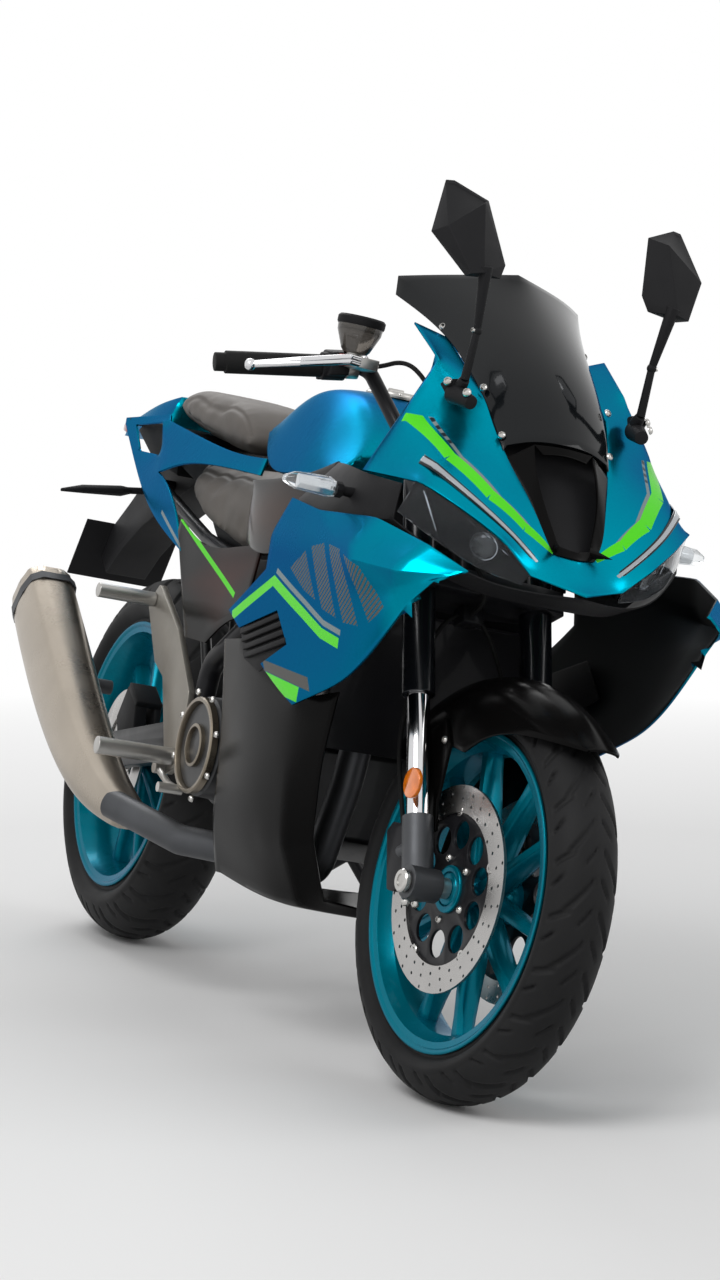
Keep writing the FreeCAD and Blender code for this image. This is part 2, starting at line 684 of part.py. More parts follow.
TANK = (
    (408, 850, 880, 160, 132, 12), (440, 842, 920, 176, 104, 24), (500, 836, 954, 180, 100, 34),
    (570, 832, 984, 180, 98, 40),
    (690, 826, 990, 168, 92, 40), (790, 858, 970, 142, 84, 30), (872, 900, 926, 104, 76, 10))
RIDER_SEAT = (
    (752, 738, 826, 100, 84, 14), (850, 716, 836, 138, 96, 24), (960, 722, 830, 150, 108, 26),
    (1050, 744, 834, 152, 110, 24), (1150, 782, 846, 138, 104, 12))
PILLION_SEAT = (
    (992, 862, 900, 98, 70, 10), (1050, 860, 942, 116, 84, 20), (1200, 872, 950, 128, 92, 24),
    (1330, 894, 956, 118, 84, 20), (1412, 918, 950, 86, 60, 8))

NOSE_INNER = ((-110, 216, 1068), (-98, 82, 988), (-92, 50, 950), (-80, 10, 908), (-58, -40, 863),
              (-45, -79, 819), (-32, -93, 788), (0, -110, 784))
NOSE_CREST = ((-156, 245, 1082), (-150, 147, 1033), (-206, 118, 942), (-176, 5, 896), (-132, -58, 852),
              (-84, -91, 811), (-40, -108, 775), (0, -136, 758))
NOSE_LOW = ((-156, 245, 1082), (-150, 147, 1033), (-238, 139, 856), (-212, -16, 852), (-168, -71, 826),
            (-112, -116, 790), (-72, -120, 753), (0, -156, 740))


def nose_cowl():
    half = grid([NOSE_INNER, NOSE_CREST, NOSE_LOW])
    return skin(half + mirrored_facets(half), PANEL, (0, 180, 860))


SCREEN = (
    ((-153, 341, 1121), (-150, 352, 1150), (-98, 300, 1163), (0, 262, 1182)),
    ((-112, 222, 1076), (-110, 226, 1092), (-70, 200, 1112), (0, 180, 1122)),
    ((-99, 88, 994), (-94, 90, 1010), (-54, 78, 1030), (0, 70, 1038)),
    ((-84, 18, 918), (-80, 20, 926), (-46, 8, 940), (0, 0, 942)))


def windscreen():
    half = grid(SCREEN)
    return skin(half + mirrored_facets(half), 3.0, (0, 300, 950))


INTAKE = (
    ((-78, 14, 904), (-44, 2, 932), (0, -4, 936)),
    ((-56, -38, 858), (-38, -16, 908), (-38, -16, 908)),
    ((-43, -76, 816), (-38, -52, 860), (-38, -52, 860)),
    ((-30, -88, 792), (-20, -88, 800), (-20, -88, 800)),
    ((0, -102, 792), (0, -98, 800), (0, -98, 800)))


def nose_trim():
    half = grid([row[:2] for row in INTAKE])
    bridge = [[INTAKE[0][1], INTAKE[0][2], (0, -16, 912), INTAKE[1][1]]]
    return skin(half + bridge + mirrored_facets(half + bridge), PANEL, (0, 120, 860))


LAMP = ((-216, 2, 846), (-168, -66, 818), (-112, -110, 782), (-72, -114, 749))
LAMP_LOW = ((-224, 24, 806), (-176, -44, 770), (-128, -78, 746), (-76, -104, 738))


def headlights():
    return both_sides(skin(grid([LAMP, LAMP_LOW]), 30.0, (0, 120, 800)))


WING = {
    "tip": (-186, -164, 744), "mid_top": (-226, -108, 769), "corner": (-255, 18, 793),
    "rear_top": (-262, 209, 789), "patch_a": (-252, 345, 800), "patch_b": (-250, 397, 751),
    "patch_c": (-262, 266, 748), "low1": (-268, 125, 755), "rear2": (-275, 46, 748), "mid2": (-262, -100, 728),
    "front2": (-212, -154, 736)}


def side_fairing():
    top = ((-186, -164, 744), (-226, -108, 769), (-255, 18, 793), (-262, 209, 789), (-252, 345, 800))
    edge = ((-196, -160, 738), (-250, -104, 742), (-276, 30, 756), (-270, 140, 756), (-262, 266, 748),
            (-250, 397, 751))
    wing = grid([top + ((-250, 397, 751),), edge])
    mid = ((-226, -144, 728), (-244, -60, 700), (-256, 20, 680), (-262, 120, 670), (-262, 240, 690),
           (-258, 380, 690))
    low = ((-232, -88, 684), (-240, 0, 612), (-244, 60, 580), (-250, 140, 600), (-258, 250, 620),
           (-260, 440, 650))
    foot = ((-238, -8, 606), (-240, 58, 556), (-244, 120, 536), (-250, 200, 515), (-256, 300, 530),
            (-258, 498, 618))
    panel = wing + grid([edge, mid, low, foot])
    return skin(panel, PANEL, (0, 150, 650))


def belly_fairing():
    """Lower panels below the side fairings, closed under the engine."""
    top = ((-206, 150, 540), (-232, 240, 516), (-240, 370, 542), (-240, 470, 580), (-232, 560, 572))
    middle = ((-196, 190, 430), (-222, 250, 420), (-230, 370, 420), (-222, 470, 420), (-208, 552, 410))
    lower = ((-160, 250, 320), (-190, 290, 300), (-200, 380, 290), (-200, 480, 292), (-196, 566, 294))
    keel = ((-90, 330, 222), (-120, 350, 206), (-140, 400, 202), (-150, 500, 206), (-160, 600, 216))
    sole = ((0, 360, 214), (0, 380, 198), (0, 420, 194), (0, 500, 198), (0, 600, 208))
    half = grid([top, middle, lower, keel, sole])
    return skin(half + mirrored_facets(half), PANEL, (0, 420, 420))


def tail_cowl():
    top = ((-128, 830, 852), (-132, 930, 850), (-134, 1060, 852), (-138, 1230, 866), (-128, 1420, 900),
           (-96, 1560, 900))
    low = ((-160, 900, 690), (-163, 930, 680), (-158, 1090, 742), (-156, 1232, 764), (-130, 1413, 818),
           (-98, 1570, 876))
    side = skin(grid([top, low]), PANEL, (0, 1100, 800))
    return both_sides(side)


def seat_side_panels():
    top = ((-167, 600, 716), (-167, 760, 700), (-168, 850, 690), (-168, 896, 672))
    low = ((-172, 540, 580), (-174, 640, 520), (-172, 760, 560), (-170, 900, 632))
    return both_sides(skin(grid([top, low]), PANEL, (0, 760, 640)))


def tank_covers():
    top = ((-184, 362, 866), (-190, 440, 842), (-192, 560, 826), (-180, 700, 818), (-156, 742, 800))
    low = ((-214, 344, 736), (-220, 440, 716), (-214, 540, 706), (-196, 640, 722), (-160, 730, 722))
    return both_sides(skin(grid([top, low]), PANEL, (0, 520, 780)))


def cockpit():
    """Dash panel under the screen with the display in it."""
    base = slab([(-92, 150, 1000), (92, 150, 1000), (92, 236, 1040), (-92, 236, 1040)], (0, -0.42, 0.907), 6.0)
    display = slab([(-70, 168, 1018), (70, 168, 1018), (70, 226, 1045), (-70, 226, 1045)], (0, -0.42, 0.907), 16.0)
    return Part.Compound([base.fuse(display).removeSplitter()])


def mirror():
    """Stalk and faceted housing of the right mirror."""
    stalk = tube([(-143, 70, 997), (-140, 62, 1030), (-140, 60, 1132)], 9.0, 16.0)
    rows = ((-139, 54, 1128), (-98, 62, 1165), (-110, 78, 1225), (-188, 139, 1280), (-205, 110, 1180))
    back = (-150, 30, 1190)
    front = [(x, y + 26, z) for x, y, z in rows]
    faces = []
    for i, point in enumerate(rows):
        following = rows[(i + 1) % len(rows)]
        faces.append([V(*back), V(*following), V(*point)])
        a, b = front[i], front[(i + 1) % len(front)]
        faces.append([V(*point), V(*following), V(*a)])
        faces.append([V(*following), V(*b), V(*a)])
        faces.append([V(-150, 112, 1190), V(*a), V(*b)])
    housing = closed_solid(faces)
    return joined(stalk, housing)


def fuel_tank():
    return lofted(TANK)


def front_indicator():
    return tube([(-250, 165, 822), (-341, 173, 824)], 13.0, 0)


def rear_indicator():
    return tube([(-84, 1506, 756), (-250, 1470, 748)], 9.0, 0)


def plate_holder():
    hanger = slab([(-60, 1500, 780), (-60, 1560, 780), (-60, 1800, 600), (-60, 1760, 590)], (1, 0, 0), 120.0)
    return hanger


def peg_bracket():
    inner = -SPAR_X - SPAR_RADIUS - 0.3
    outline = [(inner, y, z) for y, z in ((820, 350), (870, 330), (960, 480), (1010, 500), (1090, 590),
                                          (1050, 625), (930, 560), (830, 470))]
    return slab(outline, (-1, 0, 0), 12.0, 8.0)


def foot_pegs():
    rider = cross_rod(-300, -170.6, 848, 362, 14.0)
    pillion = cross_rod(-270, -170.6, 1062, 598, 12.0)
    return both_sides(rider, pillion)


# Putting the machine on its tyres

def tyre_drop(centre, axle_dir, radius, crown):
    """Height of the lowest point of a round-crowned tyre."""
    return centre.z - (radius - crown) * math.sqrt(1 - axle_dir.z ** 2) - crown


def settled():
    """Rotation and lift that lean the machine with both tyres on the floor."""
    turn = FreeCAD.Rotation(STEER_DIR, STEER_AT_REST)
    steered = FreeCAD.Placement(V(0, 0, 0), turn, STEER_BASE)
    front = steered.multVec(FRONT_AXLE)
    front_dir = turn.multVec(V(1, 0, 0))
    pitch = 0.0
    for _ in range(20):
        lean = rotation((1, 0, 0), pitch).multiply(rotation((0, 1, 0), LEAN))
        ahead = tyre_drop(lean.multVec(front), lean.multVec(front_dir), FRONT_RADIUS, FRONT_CROWN)
        behind = tyre_drop(lean.multVec(REAR_AXLE), lean.multVec(V(1, 0, 0)), REAR_RADIUS, REAR_CROWN)
        pitch -= math.degrees(math.atan2(behind - ahead, WHEELBASE))
    return steered, FreeCAD.Placement(V(0, 0, -ahead), lean)


STEERED, SETTLED = settled()


def stand_foot():
    """Point of the upright drawing that lies on the floor beside the stand's pivot once leaned."""
    down = SETTLED.inverse()
    pivot = SETTLED.multVec(V(*STAND_PIVOT))
    return down.multVec(V(pivot.x + STAND_SPREAD, pivot.y - STAND_FORWARD, 0))


STAND_FOOT = stand_foot()
STAND_AXIS = (STAND_FOOT - V(*STAND_PIVOT)).cross(V(*STAND_FOLDED)).normalize()
STAND_RANGE = math.degrees((STAND_FOOT - V(*STAND_PIVOT)).getAngle(V(*STAND_FOLDED)))


def side_stand():
    """Leg on the rider's left whose foot meets the floor once the machine leans."""
    pivot = V(*STAND_PIVOT)
    up = SETTLED.inverse().Rotation.multVec(V(0, 0, 1))
    leg = rod(pivot, STAND_FOOT + up * 8, 11.0)
    pad = rod(STAND_FOOT, STAND_FOOT + up * 9, 26.0)
    eye = rod(pivot - STAND_AXIS * STAND_EYE, pivot + STAND_AXIS * STAND_EYE, 16.0)
    bore = rod(pivot - STAND_AXIS * 40, pivot + STAND_AXIS * 40, STAND_PIN + AXLE_FIT)
    return joined(leg, pad, eye).cut(bore)


ROOT = {
    "main_frame": main_frame, "engine_block": engine, "engine_covers": engine_covers, "radiator": radiator,
    "swingarm": swingarm, "rear_axle": rear_axle, "rear_shock": rear_shock, "chain": chain,
    "exhaust_pipe": exhaust_pipe, "muffler": muffler,
    "fuel_tank": fuel_tank, "rider_seat": lambda: lofted(RIDER_SEAT),
    "pillion_seat": lambda: lofted(PILLION_SEAT), "tail_cowl": tail_cowl,
    "seat_side_panels": seat_side_panels, "tank_covers": tank_covers, "nose_cowl": nose_cowl,
    "nose_trim": nose_trim, "headlights": headlights, "windscreen": windscreen,
    "side_fairings": lambda: both_sides(side_fairing()), "belly_fairing": belly_fairing, "cockpit": cockpit,
    "mirrors": lambda: both_sides(mirror()), "front_indicators": lambda: both_sides(front_indicator()),
    "rear_indicators": lambda: both_sides(rear_indicator()), "plate_holder": plate_holder,
    "peg_brackets": lambda: both_sides(peg_bracket()), "foot_pegs": foot_pegs,
}


def all_pieces():
    pieces = {name: (make(), False) for name, make in ROOT.items()}
    pieces["side_stand"] = (side_stand(), False)
    for name, shape in rear_wheel().items():
        pieces[name] = (shape, False)
    for group in (fork_group(), front_wheel()):
        for name, shape in group.items():
            pieces[name] = (shape, True)
    return pieces


def point_text(name, point):
    return "%s %.6f %.6f %.6f" % (name, point.x, point.y, point.z)


def main():
    os.makedirs("parts", exist_ok=True)
    placed = {}
    for name, (shape, steers) in all_pieces().items():
        place = SETTLED.multiply(STEERED) if steers else SETTLED
        shape.Placement = place.multiply(shape.Placement)
        placed[name] = shape
    limits = [shape.optimalBoundingBox(False, False) for shape in placed.values()]
    shift = V(-(min(b.XMin for b in limits) + max(b.XMax for b in limits)) / 2,
              -(min(b.YMin for b in limits) + max(b.YMax for b in limits)) / 2, 0)
    for name, shape in placed.items():
        shape.translate(shift)
        shape.exportStep("parts/%s.step" % name)
    fork = SETTLED.multiply(STEERED)
    print(point_text("shift", shift))
    print(point_text("steer_pos", SETTLED.multVec(STEER_BASE + STEER_DIR * 700) + shift))
    print(point_text("steer_axis", SETTLED.Rotation.multVec(STEER_DIR)))
    print(point_text("front_pos", fork.multVec(FRONT_AXLE) + shift))
    print(point_text("front_axis", fork.Rotation.multVec(V(-1, 0, 0))))
    print(point_text("rear_pos", SETTLED.multVec(REAR_AXLE) + shift))
    print(point_text("rear_axis", SETTLED.Rotation.multVec(V(-1, 0, 0))))
    print(point_text("stand_pos", SETTLED.multVec(V(*STAND_PIVOT)) + shift))
    print(point_text("stand_axis", SETTLED.Rotation.multVec(STAND_AXIS)))
    print("stand_range %.1f 0 0" % STAND_RANGE)


main()
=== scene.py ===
import json
import math
from functools import reduce

import bmesh
import bpy
from mathutils import Matrix, Vector


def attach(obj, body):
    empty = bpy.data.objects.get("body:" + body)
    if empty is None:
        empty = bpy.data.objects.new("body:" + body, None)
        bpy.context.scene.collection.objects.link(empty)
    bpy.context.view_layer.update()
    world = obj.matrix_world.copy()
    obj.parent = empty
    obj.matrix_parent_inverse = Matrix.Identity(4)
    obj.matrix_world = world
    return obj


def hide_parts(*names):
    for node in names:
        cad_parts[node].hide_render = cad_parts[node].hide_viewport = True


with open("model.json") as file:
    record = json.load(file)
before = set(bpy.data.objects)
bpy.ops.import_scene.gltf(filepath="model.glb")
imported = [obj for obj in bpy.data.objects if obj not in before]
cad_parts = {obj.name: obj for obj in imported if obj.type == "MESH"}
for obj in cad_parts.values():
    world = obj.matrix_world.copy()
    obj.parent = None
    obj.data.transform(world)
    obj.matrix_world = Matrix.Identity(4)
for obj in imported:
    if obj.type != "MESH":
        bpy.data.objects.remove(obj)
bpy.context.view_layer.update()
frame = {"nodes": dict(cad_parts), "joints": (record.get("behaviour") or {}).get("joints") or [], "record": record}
V = Vector

# The drawing's stance, in millimetres: x = 0 the centre plane, y = 0 the front axle, z = 0 the floor
UPRIGHT_REAR = V((0, 1380, 317))
UPRIGHT_FRONT = V((0, 0, 298))
RAKE = math.radians(24.5)
STEERED = math.radians(5.7)
STEER_BASE = V((0, -94.6, 0))
STEER_UP = V((0, math.sin(RAKE), math.cos(RAKE)))
AHEAD = V((0, -math.cos(RAKE), math.sin(RAKE)))
LEG_FOOT = UPRIGHT_FRONT + V((0, 11.3, 0))

joints = {joint["name"]: joint for joint in frame["joints"]}


def basis(first, second):
    """Rotation matrix whose first column is one direction and whose second is square to it."""
    a = V(first).normalized()
    c = a.cross(V(second)).normalized()
    return Matrix((a, c.cross(a), c)).transposed()


def upright_to_row():
    rear = joints["rear_wheel_spin"]
    turn = basis(rear["axis"], joints["steering"]["axis"]) @ basis((-1, 0, 0), STEER_UP).inverted()
    start = V(rear["pos_m"]) - turn @ (UPRIGHT_REAR / 1000)
    return Matrix.Translation(start) @ turn.to_4x4() @ Matrix.Diagonal((0.001, 0.001, 0.001, 1))


ROW = upright_to_row()
ROW_FORK = ROW @ Matrix.Translation(STEER_BASE) @ Matrix.Rotation(STEERED, 4, STEER_UP) @ \
    Matrix.Translation(-STEER_BASE)


def fork_point(x, along, ahead=0.0):
    """A point of the fork: across, distance up the leg from axle height, distance ahead of the leg."""
    return LEG_FOOT + STEER_UP * along + AHEAD * ahead + V((x, 0, 0))


def new_object(name, data):
    obj = bpy.data.objects.new(name, data)
    bpy.context.scene.collection.objects.link(obj)
    return obj


# Camera, from the photograph

CAMERA_FROM_REAR = V((-2.19715, -6.21370, 0.88927))
AZIMUTH, ELEVATION, ROLL = (math.radians(v) for v in (-22.58, 5.91, 0.19))
FOCAL_PX = 3815.63
PICTURE_TALL = 1280
SENSOR = 36.0


def make_camera():
    back = V((math.sin(AZIMUTH) * math.cos(ELEVATION), -math.cos(AZIMUTH) * math.cos(ELEVATION),
              math.sin(ELEVATION)))
    right = V((math.cos(AZIMUTH), math.sin(AZIMUTH), 0))
    turned = Matrix.Rotation(ROLL, 3, back)
    data = bpy.data.cameras.new("photo_camera")
    data.sensor_fit = "AUTO"
    data.sensor_width = SENSOR
    data.lens = FOCAL_PX / PICTURE_TALL * SENSOR
    data.clip_end = 100
    camera = new_object("photo_camera", data)
    place = V(joints["rear_wheel_spin"]["pos_m"]) + CAMERA_FROM_REAR
    axes = Matrix((turned @ right, turned @ back.cross(right), back)).transposed()
    camera.matrix_world = Matrix.Translation(place) @ axes.to_4x4()
    bpy.context.scene.camera = camera


make_camera()


# Arithmetic in node trees

def feed(node, values):
    """Set or link the inputs of a shader node."""
    for key, value in values.items():
        value = value.socket if isinstance(value, Field) else value
        if isinstance(value, bpy.types.NodeSocket):
            node.id_data.links.new(value, node.inputs[key])
        else:
            node.inputs[key].default_value = value
    return node


def new_node(tree, kind, values, **settings):
    node = tree.nodes.new("ShaderNode" + kind)
    for key, value in settings.items():
        setattr(node, key, value)
    return feed(node, values)


class Field:
    """A number that varies over a surface, kept as a socket of a node tree."""

    def __init__(self, tree, socket):
        self.tree, self.socket = tree, socket

    def math(self, operation, other=None, clamp=False):
        values = {0: self} if other is None else {0: self, 1: other}
        node = new_node(self.tree, "Math", values, operation=operation, use_clamp=clamp)
        return Field(self.tree, node.outputs[0])

    def __add__(self, other):
        return self.math("ADD", other)

    def __sub__(self, other):
        return self.math("SUBTRACT", other)

    def __mul__(self, other):
        return self.math("MULTIPLY", other)

    def __abs__(self):
        return self.math("ABSOLUTE")

    def most(self, other):
        return self.math("MAXIMUM", other)

    def least(self, other):
        return self.math("MINIMUM", other)

    def step(self, at, width=0.5):
        """0 below a value and 1 above it, with an edge of the given width."""
        return ((self - at) * (1 / width)).math("ADD", 0.5, clamp=True)

    def inverse(self):
        return self * -1.0 + 1.0


def new_material(name):
    made = bpy.data.materials.new(name)
    made.use_nodes = True
    return made, made.node_tree


def on_object(tree):
    return new_node(tree, "TexCoord", {}).outputs["Object"]


def place_fields(tree):
    """Upright x, y and z in millimetres of the shaded point."""
    location, turn, scale = ROW.inverted().decompose()
    mapping = new_node(tree, "Mapping", {"Vector": on_object(tree), "Location": location,
                                         "Rotation": turn.to_euler(), "Scale": scale})
    split = new_node(tree, "SeparateXYZ", {0: mapping.outputs[0]})
    return [Field(tree, socket) for socket in split.outputs]


def noise(tree, scale, detail=3.0, stretch=(1, 1, 1)):
    mapping = new_node(tree, "Mapping", {"Vector": on_object(tree), "Scale": stretch})
    node = new_node(tree, "TexNoise", {"Vector": mapping.outputs[0], "Scale": scale, "Detail": detail})
    return Field(tree, node.outputs["Fac"])


def mixed(tree, share, first, second):
    """Colour socket between two colours or colour sockets."""
    values = {"Factor": share}
    for key, value in ((6, first), (7, second)):
        values[key] = value if isinstance(value, bpy.types.NodeSocket) else (*value, 1)
    return new_node(tree, "Mix", values, data_type="RGBA").outputs[2]


def blended(share, first, second):
    """Field between a number or field and a number."""
    if isinstance(first, Field):
        return share.inverse() * first + share * second
    return share * (second - first) + first


def surface(name, color, rough, metal, coat, patch, spread, grain, bump, specular, stretch=(1, 1, 1),
            layers=None, depth=0.0002, flip_and_painted_shade=None, more=()):
    """Material with patches, grain, roughness variation, painted layers and, where asked, painted shade on faces
    turned away.
    """
    made, tree = new_material(name)
    low, high = [tuple(min(1.0, v * lift) for v in color) for lift in (1 - spread, 1 + spread)]
    shade = mixed(tree, noise(tree, patch, 4.0).step(0.5, 0.5), low, high)
    if flip_and_painted_shade:
        # Flake lacquer flip colour together with painted shade: deeper where the surface turns away from the view
        facing_share = new_node(tree, "LayerWeight", {"Blend": 0.42})
        shade = mixed(tree, Field(tree, facing_share.outputs["Facing"]), shade, flip_and_painted_shade)
    fine = noise(tree, grain, 2.0, stretch)
    rough = (noise(tree, patch * 2.3, 5.0) - 0.5) * 0.18 + (fine - 0.5) * 0.1 + rough
    for mask, paint, layer_rough, layer_metal in (layers(*place_fields(tree)) if layers else ()):
        shade = mixed(tree, mask, shade, paint)
        if layer_rough is not None:
            rough = blended(mask, rough, layer_rough)
        if layer_metal is not None:
            metal = blended(mask, metal, layer_metal)
    relief = new_node(tree, "Bump", {"Strength": bump, "Distance": depth, "Height": fine})
    feed(tree.nodes["Principled BSDF"], {
        "Base Color": shade, "Roughness": rough.most(0.02), "Metallic": metal, "Coat Weight": coat,
        "Coat Roughness": 0.04, "Specular IOR Level": specular, "Normal": relief.outputs[0], **dict(more)})
    return made


# Flat shapes on a surface, as masks of two fields

def line_mask(u, v, start, end, wide_start, wide_end=None, edge=0.6):
    """Straight stripe with square ends, its half width changing along it."""
    wide_end = wide_start if wide_end is None else wide_end
    du, dv = end[0] - start[0], end[1] - start[1]
    length = math.hypot(du, dv)
    du, dv = du / length, dv / length
    along = u * du + v * dv - (start[0] * du + start[1] * dv)
    aside = abs(u * -dv + v * du - (start[1] * du - start[0] * dv))
    half = along * ((wide_end - wide_start) / length) + wide_start
    inside = (half - aside).least(along).least(along * -1.0 + length)
    return inside.step(0.0, edge)


def convex_mask(u, v, corners, edge=0.6):
    """Convex patch with the given corners."""
    pairs = list(zip(corners, corners[1:] + corners[:1]))
    sign = 1 if sum(a[0] * b[1] - b[0] * a[1] for a, b in pairs) > 0 else -1
    sides = []
    for a, b in pairs:
        du, dv = b[0] - a[0], b[1] - a[1]
        length = math.hypot(du, dv) * sign
        sides.append(u * (-dv / length) + v * (du / length) - (a[1] * du - a[0] * dv) / length)
    return reduce(Field.least, sides).step(0.0, edge)


def path_mask(u, v, points, half):
    parts = []
    for a, b in zip(points, points[1:]):
        run = math.hypot(b[0] - a[0], b[1] - a[1])
        lap = (half * (b[0] - a[0]) / run / 3, half * (b[1] - a[1]) / run / 3)
        parts.append(line_mask(u, v, (a[0] - lap[0], a[1] - lap[1]), (b[0] + lap[0], b[1] + lap[1]), half))
    return reduce(Field.most, parts)


# Shapes

def baked(obj):
    """Apply an object's modifiers to its mesh."""
    graph = bpy.context.evaluated_depsgraph_get()
    mesh = bpy.data.meshes.new_from_object(obj.evaluated_get(graph), preserve_all_data_layers=True,
                                           depsgraph=graph)
    obj.modifiers.clear()
    obj.data = mesh
    return mesh


def shaded(mesh, degrees=38):
    mesh.polygons.foreach_set("use_smooth", [True] * len(mesh.polygons))
    mesh.set_sharp_from_angle(angle=math.radians(degrees))


def added(name, mesh, finish, body="root", replaced=(), drawn=True):
    """Put a mesh into the scene; one that is drawn is upright in millimetres."""
    if drawn:
        mesh.transform(ROW_FORK if body in ("fork", "front_wheel") else ROW)
    obj = new_object(name, mesh)
    mesh.materials.clear()
    mesh.materials.append(FINISH[finish])
    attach(obj, body)
    if replaced:
        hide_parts(*replaced)
    return obj


def put(name, bm, finish, body="root", replaced=(), degrees=38, edge=None):
    """Add bmesh forms as a piece; edge is the width, angle limit and segments of rounded edges."""
    mesh = softened(name, bm, *edge) if edge else finished(bm, name, degrees)
    added(name, mesh, finish, body, replaced)


def mesh_of(bm, name):
    mesh = bpy.data.meshes.new(name)
    bm.to_mesh(mesh)
    bm.free()
    return mesh


def with_modifiers(mesh, *steps):
    """The mesh after (type, settings) modifiers."""
    obj = new_object("work", mesh)
    for kind, settings in steps:
        modifier = obj.modifiers.new(kind.lower(), kind)
        for key, value in settings.items():
            setattr(modifier, key, value)
    result = baked(obj)
    bpy.data.objects.remove(obj)
    return result


def divided(levels):
    return "SUBSURF", {"levels": levels, "render_levels": levels}


def bevelled(mesh, width, limit, segments=2, degrees=44, **more):
    """The mesh with rounded edges."""
    mesh = with_modifiers(mesh, ("BEVEL", {"width": width, "segments": segments, "limit_method": "ANGLE",
                                           "angle_limit": math.radians(limit), **more}),
                          ("WEIGHTED_NORMAL", {"keep_sharp": True}))
    shaded(mesh, degrees)
    return mesh


RIM_CORNER = 24


def crease_edges(bm, soft, sharp, most):
    """Crease from 0 at a soft angle to the most at a sharp one; corners of an open rim stay."""
    edges = bm.edges.layers.float.new("crease_edge")
    corners = bm.verts.layers.float.new("crease_vert")
    for edge in bm.edges:
        if len(edge.link_faces) == 2:
            turn = math.degrees(edge.calc_face_angle(0))
            edge[edges] = min(most, max(0.0, (turn - soft) / (sharp - soft)))
    for vert in bm.verts:
        open_edges = [edge for edge in vert.link_edges if edge.is_boundary]
        if len(open_edges) == 2:
            a, b = [edge.other_vert(vert).co - vert.co for edge in open_edges]
            if a.angle(-b, 0) > math.radians(RIM_CORNER):
                vert[corners] = 1.0


def grid(rows):
    return [[upper[i], upper[i + 1], lower[i + 1], lower[i]]
            for upper, lower in zip(rows, rows[1:]) for i in range(len(upper) - 1)]


def panel_mesh(name, facets, inside, thickness=3.0, both=True, levels=3, soft=14.0, sharp=52.0, most=0.9,
               rim=0.7):
    """Smooth shell over facets of upright points, mirrored, thickened inwards, with rounded rims."""
    bm = bmesh.new()
    known = {}

    def corner(point):
        key = tuple(round(value, 1) for value in point)
        if key not in known:
            known[key] = bm.verts.new(point)
        return known[key]

    mirrored = [[(-x, y, z) for x, y, z in facet] for facet in facets] if both else []
    for facet in facets + mirrored:
        ring = []
        for point in facet:
            vert = corner(point)
            if vert not in ring:
                ring.append(vert)
        if len(ring) > 2 and bm.faces.get(ring) is None:
            bm.faces.new(ring)
    bmesh.ops.recalc_face_normals(bm, faces=bm.faces)
    for island in separate(bm):
        outward = sum(face.normal.dot(face.calc_center_median() - V(inside)) * face.calc_area()
                      for face in island)
        if outward < 0:
            bmesh.ops.reverse_faces(bm, faces=island)
    bm.normal_update()
    crease_edges(bm, soft, sharp, most)
    mesh = with_modifiers(mesh_of(bm, name),
                          divided(levels),
                          ("SOLIDIFY", {"thickness": thickness, "offset": -1.0, "use_even_offset": True}),
                          ("BEVEL", {"width": rim, "segments": 2, "limit_method": "ANGLE",
                                     "angle_limit": math.radians(50)}))
    shaded(mesh)
    return mesh


def separate(bm):
    """Lists of faces that hang together."""
    left, groups = set(bm.faces), []
    while left:
        stack, group = [left.pop()], []
        while stack:
            face = stack.pop()
            group.append(face)
            for edge in face.edges:
                for near in edge.link_faces:
                    if near in left:
                        left.remove(near)
                        stack.append(near)
        groups.append(group)
    return groups


def panel(name, facets, inside, finish, replaced=(), thickness=3.5, body="root", slot=None, **shape):
    added(name, panel_mesh(name, facets, inside, thickness, **shape), finish, body, replaced)


def skin(bm, rings, first=True, last=True):
    """Faces between rings of equally many corners, with the first and the last ring filled."""
    rings = [[bm.verts.new(point) for point in ring] for ring in rings]
    for a, b in zip(rings, rings[1:]):
        for i in range(len(a)):
            bm.faces.new((a[i - 1], a[i], b[i], b[i - 1]))
    if first:
        bm.faces.new(rings[0])
    if last:
        bm.faces.new(rings[-1][::-1])


def ring_mesh(name, rings, levels=3, soft=20.0, sharp=60.0, most=0.9):
    """Body through rings of equally many upright points, subdivided."""
    bm = bmesh.new()
    skin(bm, rings)
    bmesh.ops.recalc_face_normals(bm, faces=bm.faces)
    bm.normal_update()
    crease_edges(bm, soft, sharp, most)
    mesh = with_modifiers(mesh_of(bm, name), divided(levels))
    shaded(mesh)
    return mesh


def circle(radius, share, height=0.0):
    return V((radius * math.cos(math.tau * share), radius * math.sin(math.tau * share), height))


def bar(bm, start, end, radius, radius_end=None, sides=20):
    """Round bar between two points."""
    start, end = V(start), V(end)
    turn = (end - start).to_track_quat("Z", "Y")
    skin(bm, [[middle + turn @ circle(r, i / sides) for i in range(sides)]
              for middle, r in ((start, radius), (end, radius_end or radius))])


def lathe(bm, start, axis, profile, sides=32, closed=False):
    """Surface of (distance along, radius) points turned about an axis from a start."""
    turn = V(axis).to_track_quat("Z", "Y")
    rows = []
    for along, radius in profile:
        count = sides if radius > 1e-6 else 1
        rows.append([bm.verts.new(V(start) + turn @ circle(radius, i / sides, along)) for i in range(count)])
    for a, b in list(zip(rows, rows[1:])) + ([(rows[-1], rows[0])] if closed else []):
        for i in range(sides):
            ring = [a[i - 1], a[i], b[i], b[i - 1]] if len(a) > 1 and len(b) > 1 else \
                [a[0], b[i], b[i - 1]] if len(a) == 1 else [a[i - 1], a[i], b[0]]
            bm.faces.new(ring)


def finished(bm, name, degrees=38):
    bmesh.ops.recalc_face_normals(bm, faces=bm.faces)
    mesh = mesh_of(bm, name)
    shaded(mesh, degrees)
    return mesh


def button_bolt(bm, place, normal, radius=5.0, tall=3.0):
    """Round-headed screw with a round socket."""
    socket = radius * 0.5
    profile = [(-1.5, radius), (0.4, radius), (tall * 0.6, radius * 0.86), (tall, radius * 0.6),
               (tall, socket), (tall - 2.0, socket), (tall - 2.0, 0.0)]
    lathe(bm, place, normal, profile, 18)


